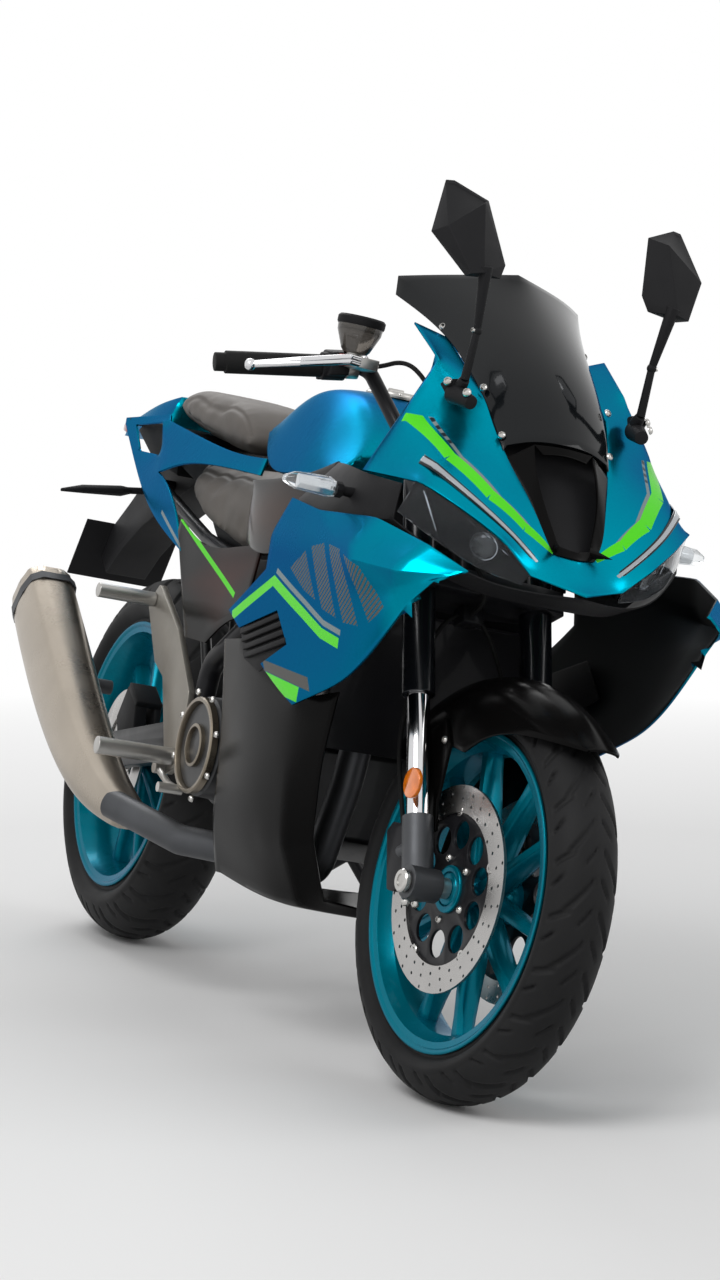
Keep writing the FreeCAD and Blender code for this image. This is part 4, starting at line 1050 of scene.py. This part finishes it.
COVER_TOP = ((-184, 362, 866), (-190, 440, 842), (-192, 560, 826), (-180, 700, 818), (-156, 742, 800))
COVER_LOW = ((-214, 344, 736), (-220, 440, 716), (-214, 540, 706), (-196, 640, 722), (-160, 730, 722))
SEAT_PANEL_TOP = ((-168, 640, 722), (-168, 740, 712), (-167, 830, 700), (-165, 930, 704), (-160, 1040, 738))
SEAT_PANEL_LOW = ((-178, 640, 610), (-174, 727, 592), (-172, 795, 552), (-172, 890, 552), (-163, 1034, 716))
BELLY = (
    ((-206, 150, 540), (-232, 240, 516), (-240, 370, 542), (-240, 470, 580), (-232, 560, 572)),
    ((-196, 190, 430), (-222, 250, 420), (-230, 370, 420), (-222, 470, 420), (-208, 552, 410)),
    ((-160, 250, 320), (-190, 290, 300), (-200, 380, 290), (-200, 480, 292), (-196, 566, 294)),
    ((-90, 330, 222), (-120, 350, 206), (-140, 400, 202), (-150, 500, 206), (-160, 600, 216)),
    ((0, 360, 214), (0, 380, 198), (0, 420, 194), (0, 500, 198), (0, 600, 208)))


def side_covers():
    middle = [tuple(V(a).lerp(V(b), 0.5) + V((-4, 0, 0))) for a, b in zip(COVER_TOP, COVER_LOW)]
    panel("knee_covers", grid([COVER_TOP, middle, COVER_LOW]), (0, 520, 780), "gloss_cover", ("tank_covers",),
          soft=20, sharp=60)
    panel("flank_panels", grid([SEAT_PANEL_TOP, SEAT_PANEL_LOW]), (0, 760, 640), "gloss_panel",
          ("seat_side_panels",), soft=20, sharp=60)
    panel("belly_shell", grid(BELLY), (0, 420, 420), "gloss", ("belly_fairing",), sharp=44)


FRONT_CROWN = 54.0
FENDER_BOW = FRONT_CROWN + 18.0
FENDER_ROWS = (
    # clock angle, arc spread, side drop, lift
    (-44, 20, 5, 20.0), (-38, 44, 8, 13.0), (-26, 70, 10, 6.0), (-10, 90, 18, 2.0), (4, 90, 52, 0.0),
    (16, 90, 40, 0.0), (28, 90, 56, 0.0), (40, 90, 40, 0.0), (50, 80, 10, 0.0))
FENDER_ARM = ((78, -20), (78, 8), (120, 12), (196, 48), (236, 38), (226, -58), (130, -34))


def fender():
    rows = []
    for turn, spread, drop, lift in FENDER_ROWS:
        half = []
        for share in (0.0, 0.3, 0.55, 0.8, 1.0):
            lean = math.radians(spread * share)
            half.append((FENDER_BOW * math.sin(lean),
                         UPRIGHT_FRONT.z - FRONT_CROWN + lift + FENDER_BOW * math.cos(lean)))
        half.append((half[-1][0] + 1, half[-1][1] - drop))
        across = [(-x, r) for x, r in half[:0:-1]] + half
        rows.append([tuple(around(x, UPRIGHT_FRONT, r, math.radians(turn))) for x, r in across])
    panel("fender_shell", grid(rows), tuple(UPRIGHT_FRONT), "gloss", ("front_fender",), 3.2, "fork",
          both=False, soft=16, sharp=50)
    bm, bolts = bmesh.new(), bmesh.new()
    for side in (-1, 1):
        skin(bm, [[fork_point(side * x, along, ahead) for along, ahead in FENDER_ARM] for x in (71.2, 76.7)])
        for along, ahead in ((206, 34), (206, -30), (92, -6)):
            button_bolt(bolts, fork_point(side * 76.5, along, ahead), (side, 0, 0), 6.0, 3.4)
    mesh = with_modifiers(finished(bm, "fender_arms"),
                          ("BEVEL", {"width": 1.6, "segments": 3, "limit_method": "ANGLE"}))
    shaded(mesh)
    added("fender_arms", mesh, "gloss", "fork", replaced=("front_fender",))
    put("fender_bolts", bolts, "bolt", "fork")


MUFFLER = (
    # x, y and z of the middle, half width, half height
    (-206, 892, 252, 27, 27), (-230, 985, 281, 38, 44), (-246, 1120, 369, 46, 57), (-250, 1290, 486, 48, 59),
    (-250, 1412, 570, 46, 55))
MUFFLER_RING = (
    (-1, -0.5), (-0.8, -0.85), (-0.35, -1), (0.35, -1), (0.8, -0.85), (1, -0.5), (1, 0.3), (0.85, 0.8),
    (0.5, 1), (-0.5, 1), (-0.85, 0.8), (-1, 0.3))


def muffler():
    end = V(MUFFLER[-1][:3])
    axis = (end - V(MUFFLER[1][:3])).normalized()
    side = V((0, 0, 1)).cross(axis).normalized()
    up = axis.cross(side)

    def ring(middle, wide, tall):
        return [middle + side * (a * wide) + up * (b * tall) for a, b in MUFFLER_RING]

    rings = [ring(V((x, y, z)), wide, tall) for x, y, z, wide, tall in MUFFLER]
    added("silencer_shell", ring_mesh("silencer_shell", rings, soft=24, sharp=70, most=0.8), "steel",
          replaced=("muffler",))
    bm = bmesh.new()
    lathe(bm, end - axis * 2, axis,
          [(0, 38), (4, 37), (6, 34), (12, 33), (12, 22), (4, 21), (-50, 21), (-50, 0)], 48)
    skin(bm, [ring(end - axis * back, 46.6 * grow, 56 * grow)
              for back, grow in ((40, 1.0), (40, 1.035), (24, 1.035), (24, 1.0))], False, False)
    bar(bm, (-210, 1189, 436), (-171.5, 1189, 436), 12.0)
    put("silencer_end", bm, "cast", replaced=("muffler",))


# Pieces drawn here because the solids have them plainer or leave them out

def plate(bm, corners, normal, thick):
    """Plate over upright corners, thickened along its normal."""
    lift = V(normal).normalized() * thick
    skin(bm, [corners, [V(p) + lift for p in corners]])


def bent(bm, points, radius):
    """Round bar through points, with a ball at each bend."""
    for a, b in zip(points, points[1:]):
        bar(bm, a, b, radius, sides=16)
    for point in points[1:-1]:
        ball(bm, point, radius * 1.01)


def ball(bm, place, radius):
    steps = [math.pi * i / 8 for i in range(9)]
    lathe(bm, place, (0, 0, 1), [(-radius * math.cos(a), radius * math.sin(a)) for a in steps], 16)


MIRROR_RIM = (
    (-191, 149, 1282), (-178, 147, 1284), (-129, 126, 1264), (-109, 72, 1175), (-118, 61, 1154),
    (-169, 68, 1148), (-216, 108, 1202))
MIRROR_RIDGE = ((-204, 79, 1213), (-148, 93, 1257), (-155, 37, 1156), (-174, 38, 1151))
MIRROR_NORMAL = V((0.165, 0.857, -0.49)).normalized()


def mirrors():
    corners = [V(point) for point in MIRROR_RIM]
    middle = sum(corners, V((0, 0, 0))) / len(corners)
    corners = [point - MIRROR_NORMAL * (point - middle).dot(MIRROR_NORMAL) for point in corners]
    ridge = [V(point) for point in MIRROR_RIDGE]
    shell, glass, bolts = bmesh.new(), bmesh.new(), bmesh.new()
    for side in (1, -1):
        flip = Matrix.Diagonal((side, 1, 1))
        rim_verts = [shell.verts.new(flip @ point) for point in corners]
        a, b, c, d, e, f, g = rim_verts
        p, q, r, s = [shell.verts.new(flip @ point) for point in ridge]
        lip = [shell.verts.new(flip @ (middle + (point - middle) * 0.93)) for point in corners]
        floor = [shell.verts.new(flip @ (middle + (point - middle) * 0.92 - MIRROR_NORMAL * 3))
                 for point in corners]
        for ring in ((a, b, c, q, p), (a, p, g), (g, p, s, f), (p, q, r, s), (q, c, d, r), (d, e, r),
                     (e, f, s, r)):
            shell.faces.new(ring)
        for upper, lower in ((rim_verts, lip), (lip, floor)):
            for i in range(len(upper)):
                shell.faces.new((upper[i - 1], upper[i], lower[i], lower[i - 1]))
        shell.faces.new(floor)
        foot, knee, top = [flip @ V(point) for point in
                           ((-141, 66, 1006), (-140, 58, 1076), (-150, 46, 1166))]
        bar(shell, foot, knee, 6.5, 5.6, 20)
        bar(shell, knee, top, 5.6, 10.0, 20)
        ball(shell, knee, 7.4)
        bar(shell, flip @ V((-141, 78, 994)), foot, 10.0, 7.5, 20)
        for a, b in (((-146, 86, 985), (-136, 40, 975)), ((-150, 92, 1000), (-146, 86, 985))):
            bar(shell, flip @ V(a), flip @ V(b), 15.0, 10.0, 24)
        plate(glass, [flip @ (middle + (point - middle) * 0.915 - MIRROR_NORMAL * 2.6) for point in corners],
              flip @ MIRROR_NORMAL, 1.4)
        for point in ((-146, 40, 988), (-160, 80, 1000)):
            button_bolt(bolts, flip @ V(point), flip @ V((-0.72, -0.5, 0.48)), 6.5, 4.0)
        button_bolt(bolts, knee, flip @ V((-1, -0.2, 0)), 4.5, 9.0)
    put("mirror_housings", shell, "matte", replaced=("mirrors",), edge=(2.2, 14, 3))
    put("mirror_glasses", glass, "mirror", edge=(0.5,))
    put("mirror_bolts", bolts, "bolt")


INNER_FRONT = ((0, -144, 733), (-76, -100, 728), (-128, -72, 734), (-176, -36, 756), (-226, 28, 794))
INNER_BACK = ((0, -80, 712), (-60, -60, 712), (-110, -20, 715), (-165, 20, 735), (-246, 136, 787))
INNER_SIDE = ((-222, 30, 846), (-236, 136, 852), (-214, 250, 862), (-188, 350, 864))
INNER_SIDE_LOW = ((-226, 28, 794), (-246, 136, 787), (-255, 209, 785), (-249, 340, 794))
AIRBOX = ((440, 620), (440, 838), (725, 838), (740, 700), (900, 690), (900, 600), (560, 540))
HANDLE_BACK = ((1290, 806), (1300, 884), (1490, 896), (1530, 874), (1420, 824))
UNDERTRAY = (
    (730, 700), (730, 800), (1010, 840), (1400, 880), (1400, 850), (1160, 790), (1080, 730), (940, 640),
    (800, 640))
SHROUD = ((350, 600), (346, 770), (352, 770), (356, 600))
DUCT = (
    ((-104, 96, 990), (-60, 84, 1016), (0, 78, 1026)), ((-96, 44, 930), (-56, 44, 926), (0, 46, 930)),
    ((-110, -4, 868), (-60, 8, 880), (0, 6, 884)), ((-84, -52, 812), (-48, -48, 826), (0, -50, 830)),
    ((-50, -84, 780), (-30, -82, 786), (0, -84, 790)))


def dark_inside():
    """Tray below the headlights, filler panels beside them, and the duct behind the intake."""
    tray = grid([INNER_FRONT, INNER_BACK]) + grid([INNER_SIDE, INNER_SIDE_LOW])
    panel("nose_tray", tray, (0, 150, 850), "matte", thickness=2.5, levels=2)
    panel("intake_duct", grid(DUCT), (0, 250, 900), "matte", thickness=2.5, levels=2)
    bm = bmesh.new()
    for outline, half in ((AIRBOX, 112.0), (UNDERTRAY, 84.0), (HANDLE_BACK, 88.0), (SHROUD, 196.0)):
        prism(bm, outline, -half, half, (1,))
    put("airbox_and_tray", bm, "matte", edge=(8.0, 30, 3))


def pod(bm, stations):
    """Eight-sided bodies along x: x, y and z of the middle, half depth and half height."""
    turns = [math.tau * (i + 0.5) / 8 for i in range(8)]
    for side in (1, -1):
        skin(bm, [[(side * x, y + deep * math.cos(t), z + tall * math.sin(t)) for t in turns]
                  for x, y, z, deep, tall in stations])


def indicators():
    lens, core, stalk = bmesh.new(), bmesh.new(), bmesh.new()
    pod(lens, ((-262, 162, 822, 10, 10), (-274, 163, 823, 15, 16), (-300, 167, 824, 15, 15),
               (-324, 170, 824, 12, 13), (-341, 173, 824, 4, 5)))
    pod(core, ((-264, 164, 822, 7, 7), (-276, 166, 823, 10, 10), (-318, 172, 824, 8, 8)))
    rear, tip = bmesh.new(), bmesh.new()
    pod(rear, ((-100, 1478, 766, 8, 6), (-118, 1476, 763, 15, 10), (-190, 1470, 754, 13, 8),
               (-230, 1464, 746, 4, 3)))
    pod(tip, ((-124, 1486, 762, 8, 7), (-190, 1479, 754, 6, 5)))
    for side in (1, -1):
        bar(stalk, (side * -225, 161, 821), (side * -256, 163, 822), 8.5, 7.0)
        bar(stalk, (side * -254, 163, 822), (side * -264, 163, 822), 11.5, 11.5, 8)
        bar(core, (side * -276, 163, 823), (side * -300, 166, 823), 5.0)
        bar(rear, (side * -30, 1484, 776), (side * -104, 1478, 766), 6.0)
    put("signal_lenses", lens, "lens", replaced=("front_indicators",), edge=(1.0, 20))
    put("signal_bulbs", core, "inner_white", edge=(0.8, 20))
    put("signal_stalks", stalk, "matte")
    put("rear_signals", rear, "matte", replaced=("rear_indicators",), edge=(1.0, 20))
    put("rear_signal_lenses", tip, "amber", edge=(0.6, 20))


HOLDER_ARM = (
    (1300, 812), (1420, 826), (1560, 806), (1640, 746), (1706, 700), (1742, 640), (1700, 612), (1640, 660),
    (1560, 706), (1470, 744), (1400, 770))
PLATE_TOP = (1704, 702)
PLATE_FOOT = (1762, 598)
PLATE_HALF = 90.0


def holder():
    """Arm behind the seat rails with a blank board, its bolts and the tail lamp above."""
    bm = bmesh.new()
    prism(bm, HOLDER_ARM, -38.0, 38.0, (1,))
    (y0, z0), (y1, z1) = PLATE_TOP, PLATE_FOOT
    plate(bm, [(-PLATE_HALF, y0, z0), (PLATE_HALF, y0, z0), (PLATE_HALF, y1, z1), (-PLATE_HALF, y1, z1)],
          (0, z0 - z1, y1 - y0), 3.0)
    prism(bm, ((1690, 716), (1722, 706), (1724, 694), (1694, 700)), -30.0, 30.0, (1,))
    put("plate_arm", bm, "matte", replaced=("plate_holder",), edge=(3.0,))
    bolts = bmesh.new()
    for x in (-60, 60):
        button_bolt(bolts, (x, 1716, 686), (0, 0.87, 0.49), 6.0, 3.6)
    put("plate_bolts", bolts, "bolt")
    lamp = bmesh.new()
    prism(lamp, ((1728, 868), (1754, 872), (1752, 886), (1726, 890)), -38.0, 38.0, (1,))
    put("rear_lamp", lamp, "red_lens", edge=(3.0,))


GRIP_IN = V((-212, 436, 991))
GRIP_OUT = V((-350, 470, 963))
LEVER_PIVOT = V((-188, 342, 1004))


def hand_controls():
    """Switch housings, lever clamps and levers, with the fluid cup on the right."""
    along = (GRIP_OUT - GRIP_IN).normalized()
    boxes, levers, cup, cap, red, metal = (bmesh.new() for _ in range(6))
    for side in (1, -1):
        flip = Matrix.Diagonal((side, 1, 1))
        bar(boxes, flip @ (GRIP_IN - along * 36), flip @ GRIP_IN, 21.0, sides=28)
        plate(boxes, [flip @ (GRIP_IN - along * 34 + V((0, y, z))) for y, z in (
            (-26, -12), (16, -22), (22, 6), (10, 25), (-24, 22))], flip @ along, 30.0)
        bar(metal, flip @ (GRIP_IN - along * 56), flip @ (GRIP_IN - along * 38), 18.0, sides=28)
        plate(metal, [flip @ (LEVER_PIVOT + V((x, y, -8))) for x, y in (
            (-16, -10), (14, -14), (30, 30), (30, 74), (0, 76), (-6, 40))], (0, 0, 1), 16.0)
        tip = GRIP_OUT + V((10, -64, 2))
        elbow = LEVER_PIVOT + V((-34, -14, 0))
        for lift in (-3.4, 3.4):
            bent(levers, [flip @ (point + V((0, 0, lift * share))) for point, share in (
                (LEVER_PIVOT + V((6, 2, 0)), 1), (elbow, 1), ((elbow + tip) / 2 + V((-4, -8, 0)), 0.7),
                (tip, 0.2))], 4.6)
        ball(levers, flip @ tip, 9.0)
        button_bolt(levers, flip @ (LEVER_PIVOT + V((-2, 4, 8))), (0, 0, 1), 6.0, 4.0)
        button_bolt(levers, flip @ (GRIP_IN - along * 47 + V((0, 0, 17))), (0, 0, 1), 4.5, 3.0)
    plate(red, [GRIP_IN - along * 30 + V((0, y, z)) for y, z in ((-27, 2), (-22, 20), (-31, 20), (-33, 6))],
          along, 18.0)
    foot = LEVER_PIVOT + V((8, 58, 8))
    lathe(cup, foot, (0, 0, 1), [(6, 0), (6, 17), (12, 22), (38, 33), (48, 34), (48, 0)], 32)
    lathe(metal, foot, (0, 0, 1), [(-6, 12), (8, 12), (8, 15), (10, 15), (10, 0)], 24)
    lathe(cap, foot, (0, 0, 1), [(47, 34.5), (50, 36), (58, 36), (61, 33), (61, 14), (58, 11), (58, 0)], 32)
    put("switch_housings", boxes, "matte", "fork", replaced=("switchgear",), edge=(2.4,))
    put("lever_blades", levers, "chrome", "fork", replaced=("hand_levers",), degrees=50)
    put("lever_clamps", metal, "alloy", "fork", edge=(1.6,))
    put("fluid_bowl", cup, "cup", "fork")
    put("fluid_cap", cap, "matte", "fork")
    put("stop_switch", red, "red", "fork", edge=(1.6,))


VENT_SLATS = 4


def vents():
    """Dark recess in the side fairing's opening with slats across it."""
    bm = bmesh.new()
    middle = [sum(point[i] for point in VENT) / len(VENT) for i in (0, 1)]
    outline = [(middle[0] + (y - middle[0]) * 1.15, middle[1] + (z - middle[1]) * 1.15) for y, z in VENT]
    prism(bm, outline, -250.0, -247.0)
    for i in range(VENT_SLATS):
        share = (i + 0.5) / VENT_SLATS
        start = V(VENT[1]).lerp(V(VENT[2]), share)
        end = V(VENT[0]).lerp(V((400, 553)), share)
        across = V((-(end - start).y, (end - start).x)).normalized() * 4.0
        prism(bm, [tuple(start - across), tuple(end - across), tuple(end + across), tuple(start + across)],
              -257.0, -249.0)
    put("vent_slats", bm, "matte", edge=(1.2,))


CLUTCH = V((-200, 683, 397))


def engine_trim():
    """Bright band and cover bolts round the clutch cover."""
    band, bolts = bmesh.new(), bmesh.new()
    lathe(band, CLUTCH, (-1, 0, 0), [(-8, 76), (2, 76), (4, 74), (4, 69), (2, 68), (-8, 68)], 48, closed=True)
    lathe(band, CLUTCH, (-1, 0, 0), [(-4, 34), (3, 34), (4, 32), (4, 29), (0, 28), (-4, 28)], 36, closed=True)
    for i in range(8):
        turn = math.tau * (i + 0.4) / 8
        button_bolt(bolts, CLUTCH + V((1, 85 * math.sin(turn), 85 * math.cos(turn))), (-1, 0, 0), 5.5, 4.0)
    put("clutch_band", band, "cover_rim")
    put("clutch_bolts", bolts, "bolt")


def fork_trim():
    """Axle heads and pinch bolts of the fork feet."""
    bm = bmesh.new()
    for side in (-1, 1):
        lathe(bm, UPRIGHT_FRONT + V((side * 130, 0, 0)), (side, 0, 0),
              [(-2, 17), (3, 17), (5, 15), (5, 9), (0, 8), (0, 0)], 28)
        for across in (106, 122):
            button_bolt(bm, fork_point(side * across, -33, 4), -STEER_UP, 6.0, 5.0)
    put("axle_heads", bm, "bolt", "fork")


def running_gear():
    """Foot levers, chain guard and rear caliper."""
    bright, dark = bmesh.new(), bmesh.new()
    for side in (1, -1):
        bent(bright, [(side * -180, 874, 338), (side * -186, 800, 322), (side * -202, 716, 322)], 5.6)
        bar(bright, (side * -236, 714, 322), (side * -196, 714, 322), 8.0)
        bar(bright, (side * -188, 874, 340), (side * -172, 874, 340), 10.0)
    prism(dark, ((930, 441), (930, 446), (1250, 446), (1250, 441)), 78.0, 108.0, (1,))
    for y in (955, 1225):
        bar(dark, (103, y, 443), (103, y, 330), 4.5)
    y, z = UPRIGHT_REAR.y, UPRIGHT_REAR.z
    caliper = [(y + a, z + b) for a, b in ((-36, 64), (-66, 120), (-118, 94), (-136, 36), (-68, 12))]
    prism(dark, caliper, -96.0, -74.0, (1,))
    prism(dark, caliper, -60.0, -48.0, (1,))
    prism(dark, [(y + a, z + b) for a, b in ((-72, 128), (-124, 100), (-118, 90), (-68, 116))], -96.0, -48.0,
          (1,))
    put("foot_controls", bright, "alloy")
    put("chain_cover_and_caliper", dark, "matte", edge=(2.0,))


# The tail, as rows on the rider's right

BAND_TOP = ((-128, 789, 856), (-128, 933, 855), (-118, 1150, 878), (-105, 1327, 897))
BAND_LOW = ((-135, 788, 828), (-138, 930, 833), (-140, 1121, 834), (-145, 1231, 806))
WINDOW = ((-110, 1483, 882), (-110, 1350, 893), (-120, 1295, 835), (-120, 1412, 838))
HANDLE = ((-100, 1345, 908), (-108, 1545, 892), (-110, 1539, 881), (-125, 1397, 804))
BLADE = ((-150, 1219, 733), (-165, 999, 685), (-160, 1067, 746), (-150, 1159, 789))
TAIL = ((1416, 880, 946, 84, 60, 10), (1560, 868, 930, 80, 50, 10), (1740, 862, 893, 40, 26, 6))


def tail():
    a, b, c, d = WINDOW
    front, back, back_low, heel = HANDLE
    top_end, low_end = BAND_TOP[-1], BAND_LOW[-1]
    facets = grid([BAND_TOP, BAND_LOW]) + [
        [top_end, b, c, low_end], [top_end, front, b], [front, back, a, b], [a, back, back_low],
        [a, back_low, heel, d], [c, d, heel, low_end], [low_end, heel, BLADE[0], BLADE[3]],
        [BLADE[3], BLADE[0], BLADE[1], BLADE[2]]]
    panel("tail_sides", facets, (0, 1200, 830), "paint_tail", ("tail_cowl",), 3.8, sharp=40)
    added("tail_middle", ring_mesh("tail_middle", station_rings(TAIL)), "paint_tail", replaced=("tail_cowl",))
    bm = bmesh.new()
    for side in (-1, 1):
        bar(bm, (side * 107, 1526, 886), (side * 60, 1516, 892), 7.0)
    put("handle_links", bm, "matte")


# Seats, as padded covers blown up inside the solids' room

RIDER_SEAT = (
    (744, 730, 812, 96, 84, 14), (800, 702, 832, 128, 92, 20), (860, 706, 836, 142, 98, 22),
    (960, 722, 832, 148, 108, 22), (1060, 744, 834, 148, 112, 20), (1156, 788, 842, 128, 104, 12))
PILLION_SEAT = (
    (1000, 866, 896, 88, 70, 8), (1060, 868, 938, 102, 84, 16), (1200, 884, 950, 108, 92, 18),
    (1330, 902, 956, 100, 84, 16), (1412, 922, 950, 78, 60, 8))
SEAT_VOXEL = 0.006
SEAT_FRAMES = 20
SEAT_CAP = 0.009
SEAT_INSET = 5.0


def padded_seat(name, stations):
    """Cushion: the solid's form drawn in, swollen as cloth, with its move capped."""
    middle = sum(s[0] for s in stations) / len(stations)
    slim = []
    for i, (y, low, high, wide_low, wide_high, radius) in enumerate(stations):
        ends = SEAT_INSET if i in (0, len(stations) - 1) else 0
        slim.append((y + (ends if y < middle else -ends), low + SEAT_INSET * 0.6, high - SEAT_INSET * 0.4,
                     wide_low - SEAT_INSET, wide_high - SEAT_INSET * 0.8, radius))
    mesh = ring_mesh(name, station_rings(slim), levels=2, soft=25, sharp=90, most=0.6)
    mesh.transform(ROW)
    mesh = with_modifiers(mesh, ("REMESH", {"mode": "VOXEL", "voxel_size": SEAT_VOXEL}))
    start = [v.co.copy() for v in mesh.vertices]
    obj = new_object(name + "_sim", mesh)
    cloth = obj.modifiers.new("cloth", "CLOTH")
    cloth.settings.use_pressure = True
    cloth.settings.uniform_pressure_force = 4.0
    cloth.settings.effector_weights.gravity = 0.0
    cloth.point_cache.frame_start, cloth.point_cache.frame_end = 1, SEAT_FRAMES
    for step in range(1, SEAT_FRAMES + 1):
        bpy.context.scene.frame_set(step)
    mesh = baked(obj)
    bpy.data.objects.remove(obj)
    bpy.context.scene.frame_set(1)
    for vert, first in zip(mesh.vertices, start):
        move = vert.co - first
        if move.length > SEAT_CAP:
            vert.co = first + move.normalized() * SEAT_CAP
    return with_modifiers(mesh, ("SMOOTH", {"factor": 0.5, "iterations": 24}), divided(1))


def seam_cut(mesh, lines, half, deep):
    """Press narrow seams into a mesh; each line says where it applies and how far off it a point is."""
    back = ROW.inverted()
    for vert in mesh.vertices:
        at = back @ vert.co
        sink = 0.0
        for keep, off in lines:
            if keep(at):
                sink = max(sink, deep * (1 - ease(abs(off(at)), 0, half)))
        if sink:
            vert.co -= vert.normal * (sink / 1000)


RIDER_SEAMS = ((lambda p: p.z > 770, lambda p: abs(p.x) - (96 + 8 * ease(p.y, 760, 1100))),
               (lambda p: p.z > 800 and abs(p.x) < 100, lambda p: p.y - 1080 - p.x * p.x * 0.004))
PILLION_SEAMS = ((lambda p: p.z > 890, lambda p: abs(p.x) - (82 - 0.05 * abs(p.y - 1200))),)


def seats():
    for name, node, stations, lines, half, deep in (
            ("rider_cushion", "rider_seat", RIDER_SEAT, RIDER_SEAMS, 4.5, 3.0),
            ("pillion_cushion", "pillion_seat", PILLION_SEAT, PILLION_SEAMS, 4.0, 2.4)):
        mesh = padded_seat(name, stations)
        seam_cut(mesh, lines, half, deep)
        shaded(mesh, 70)
        added(name, mesh, "seat", replaced=(node,), drawn=False)


# Pieces that keep their own shape, with rounded edges and a finish

KEPT = {
    # node: finish and edge radius in millimetres
    "main_frame": ("satin", 1.6), "engine_block": ("engine", 2.0), "engine_covers": ("engine", 2.0),
    "radiator": ("satin", 0.8), "swingarm": ("satin", 2.4), "rear_axle": ("alloy", 0.8),
    "rear_shock": ("satin", 0.8), "exhaust_pipe": ("cast", 0.6), "cockpit": ("matte", 1.5),
    "peg_brackets": ("plate_alloy", 1.6), "foot_pegs": ("alloy", 1.2), "side_stand": ("satin", 1.4),
    "fork_outer_tubes": ("fork_tube", 0.8), "fork_stanchions": ("chrome", 0.2), "fork_feet": ("cast", 1.6),
    "fork_yokes": ("satin", 1.6), "handlebars": ("satin", 0.8), "grips": ("rubber", 1.2),
    "front_calipers": ("satin", 1.6), "fork_reflectors": ("amber", 1.2), "front_axle": ("alloy", 0.8),
    "front_disc_carriers": ("satin", 0.6), "rear_disc": ("disc", 0.4), "rear_sprocket": ("chain", 0.4),
}


def kept_pieces():
    bodies = {node: body for body, nodes in frame["record"]["behaviour"]["bodies"].items() for node in nodes}
    for node, (finish, width) in KEPT.items():
        bm = bmesh.new()
        bm.from_mesh(frame["nodes"][node].data)
        bmesh.ops.remove_doubles(bm, verts=bm.verts, dist=1e-5)
        bmesh.ops.dissolve_limit(bm, angle_limit=math.radians(0.6), verts=bm.verts, edges=bm.edges)
        bm.normal_update()
        name = node + "_shape"
        mesh = bevelled(mesh_of(bm, name), width / 1000, 36.0, miter_outer="MITER_ARC")
        added(name, mesh, finish, bodies[node], (node,), drawn=False)
    for slot in frame["nodes"]["chain"].material_slots:
        slot.material = FINISH["chain"]


# Hoses, along the routes of the source

HOSE_DIAMETER = 0.007
HOSE_ROUTE = (
    (-74, 160, -88), (-82, 225, -84), (-84, 285, -60), (-74, 340, -44), (-54, 385, -38), (-34, 418, -30))
MASTER_ROUTE = (
    (-132, 792, 12), (-108, 756, 32), (-88, 700, 40), (-76, 630, 38), (-70, 570, 34), (-66, 524, 35),
    (-34, 480, 46), (-14, 450, 45), (-7, 424, 26))
SPLITTER_ALONG = 427.0


def hose(name, points):
    curve = bpy.data.curves.new(name, "CURVE")
    curve.dimensions = "3D"
    curve.bevel_depth = HOSE_DIAMETER / 2
    curve.bevel_resolution = 4
    curve.resolution_u = 16
    curve.use_fill_caps = True
    spline = curve.splines.new("NURBS")
    spline.points.add(len(points) - 1)
    for control, point in zip(spline.points, points):
        control.co = (*(ROW_FORK @ V(point)), 1)
    spline.order_u = 3
    spline.use_endpoint_u = True
    curve.materials.append(FINISH["rubber"])
    obj = new_object(name, curve)
    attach(obj, "fork")
    tuple(ROW_FORK @ V(points[0]))


def hoses():
    """The block under the lower yoke where the hoses meet, and the hoses."""
    bm = bmesh.new()
    plate(bm, [fork_point(x, SPLITTER_ALONG - 13, ahead)
               for x, ahead in ((-17, -40), (17, -40), (17, -10), (-17, -10))], STEER_UP, 26.2)
    put("hose_splitter", bm, "satin", "fork", edge=(1.4,))
    right = [fork_point(*p) for p in ((-72, 106, -84),) + HOSE_ROUTE + ((-17.3, SPLITTER_ALONG, -26),)]
    pump = LEVER_PIVOT + V((30.5, 60, 0))
    down = [pump, pump + V((16, -6, 2))]
    down += [fork_point(*p) for p in MASTER_ROUTE + ((-4, SPLITTER_ALONG, -9.7),)]
    hose("caliper_hose_right", right)
    hose("caliper_hose_left", [V((-p.x, p.y, p.z)) for p in right])
    hose("pump_hose", down)


mirrors()
dark_inside()
indicators()
holder()
hand_controls()
vents()
running_gear()
engine_trim()
fork_trim()
for which in WHEELS:
    tyre(which)
    rim(which)
drilled_disc("front_disc_right", UPRIGHT_FRONT, 148.0, -58.5, 39.0)
drilled_disc("front_disc_left", UPRIGHT_FRONT, 148.0, 54.0, 39.0)
wheel_details()
nose()
windscreen()
headlights()
side_fairings()
tank()
side_covers()
fender()
muffler()
tail()
seats()
hoses()
kept_pieces()
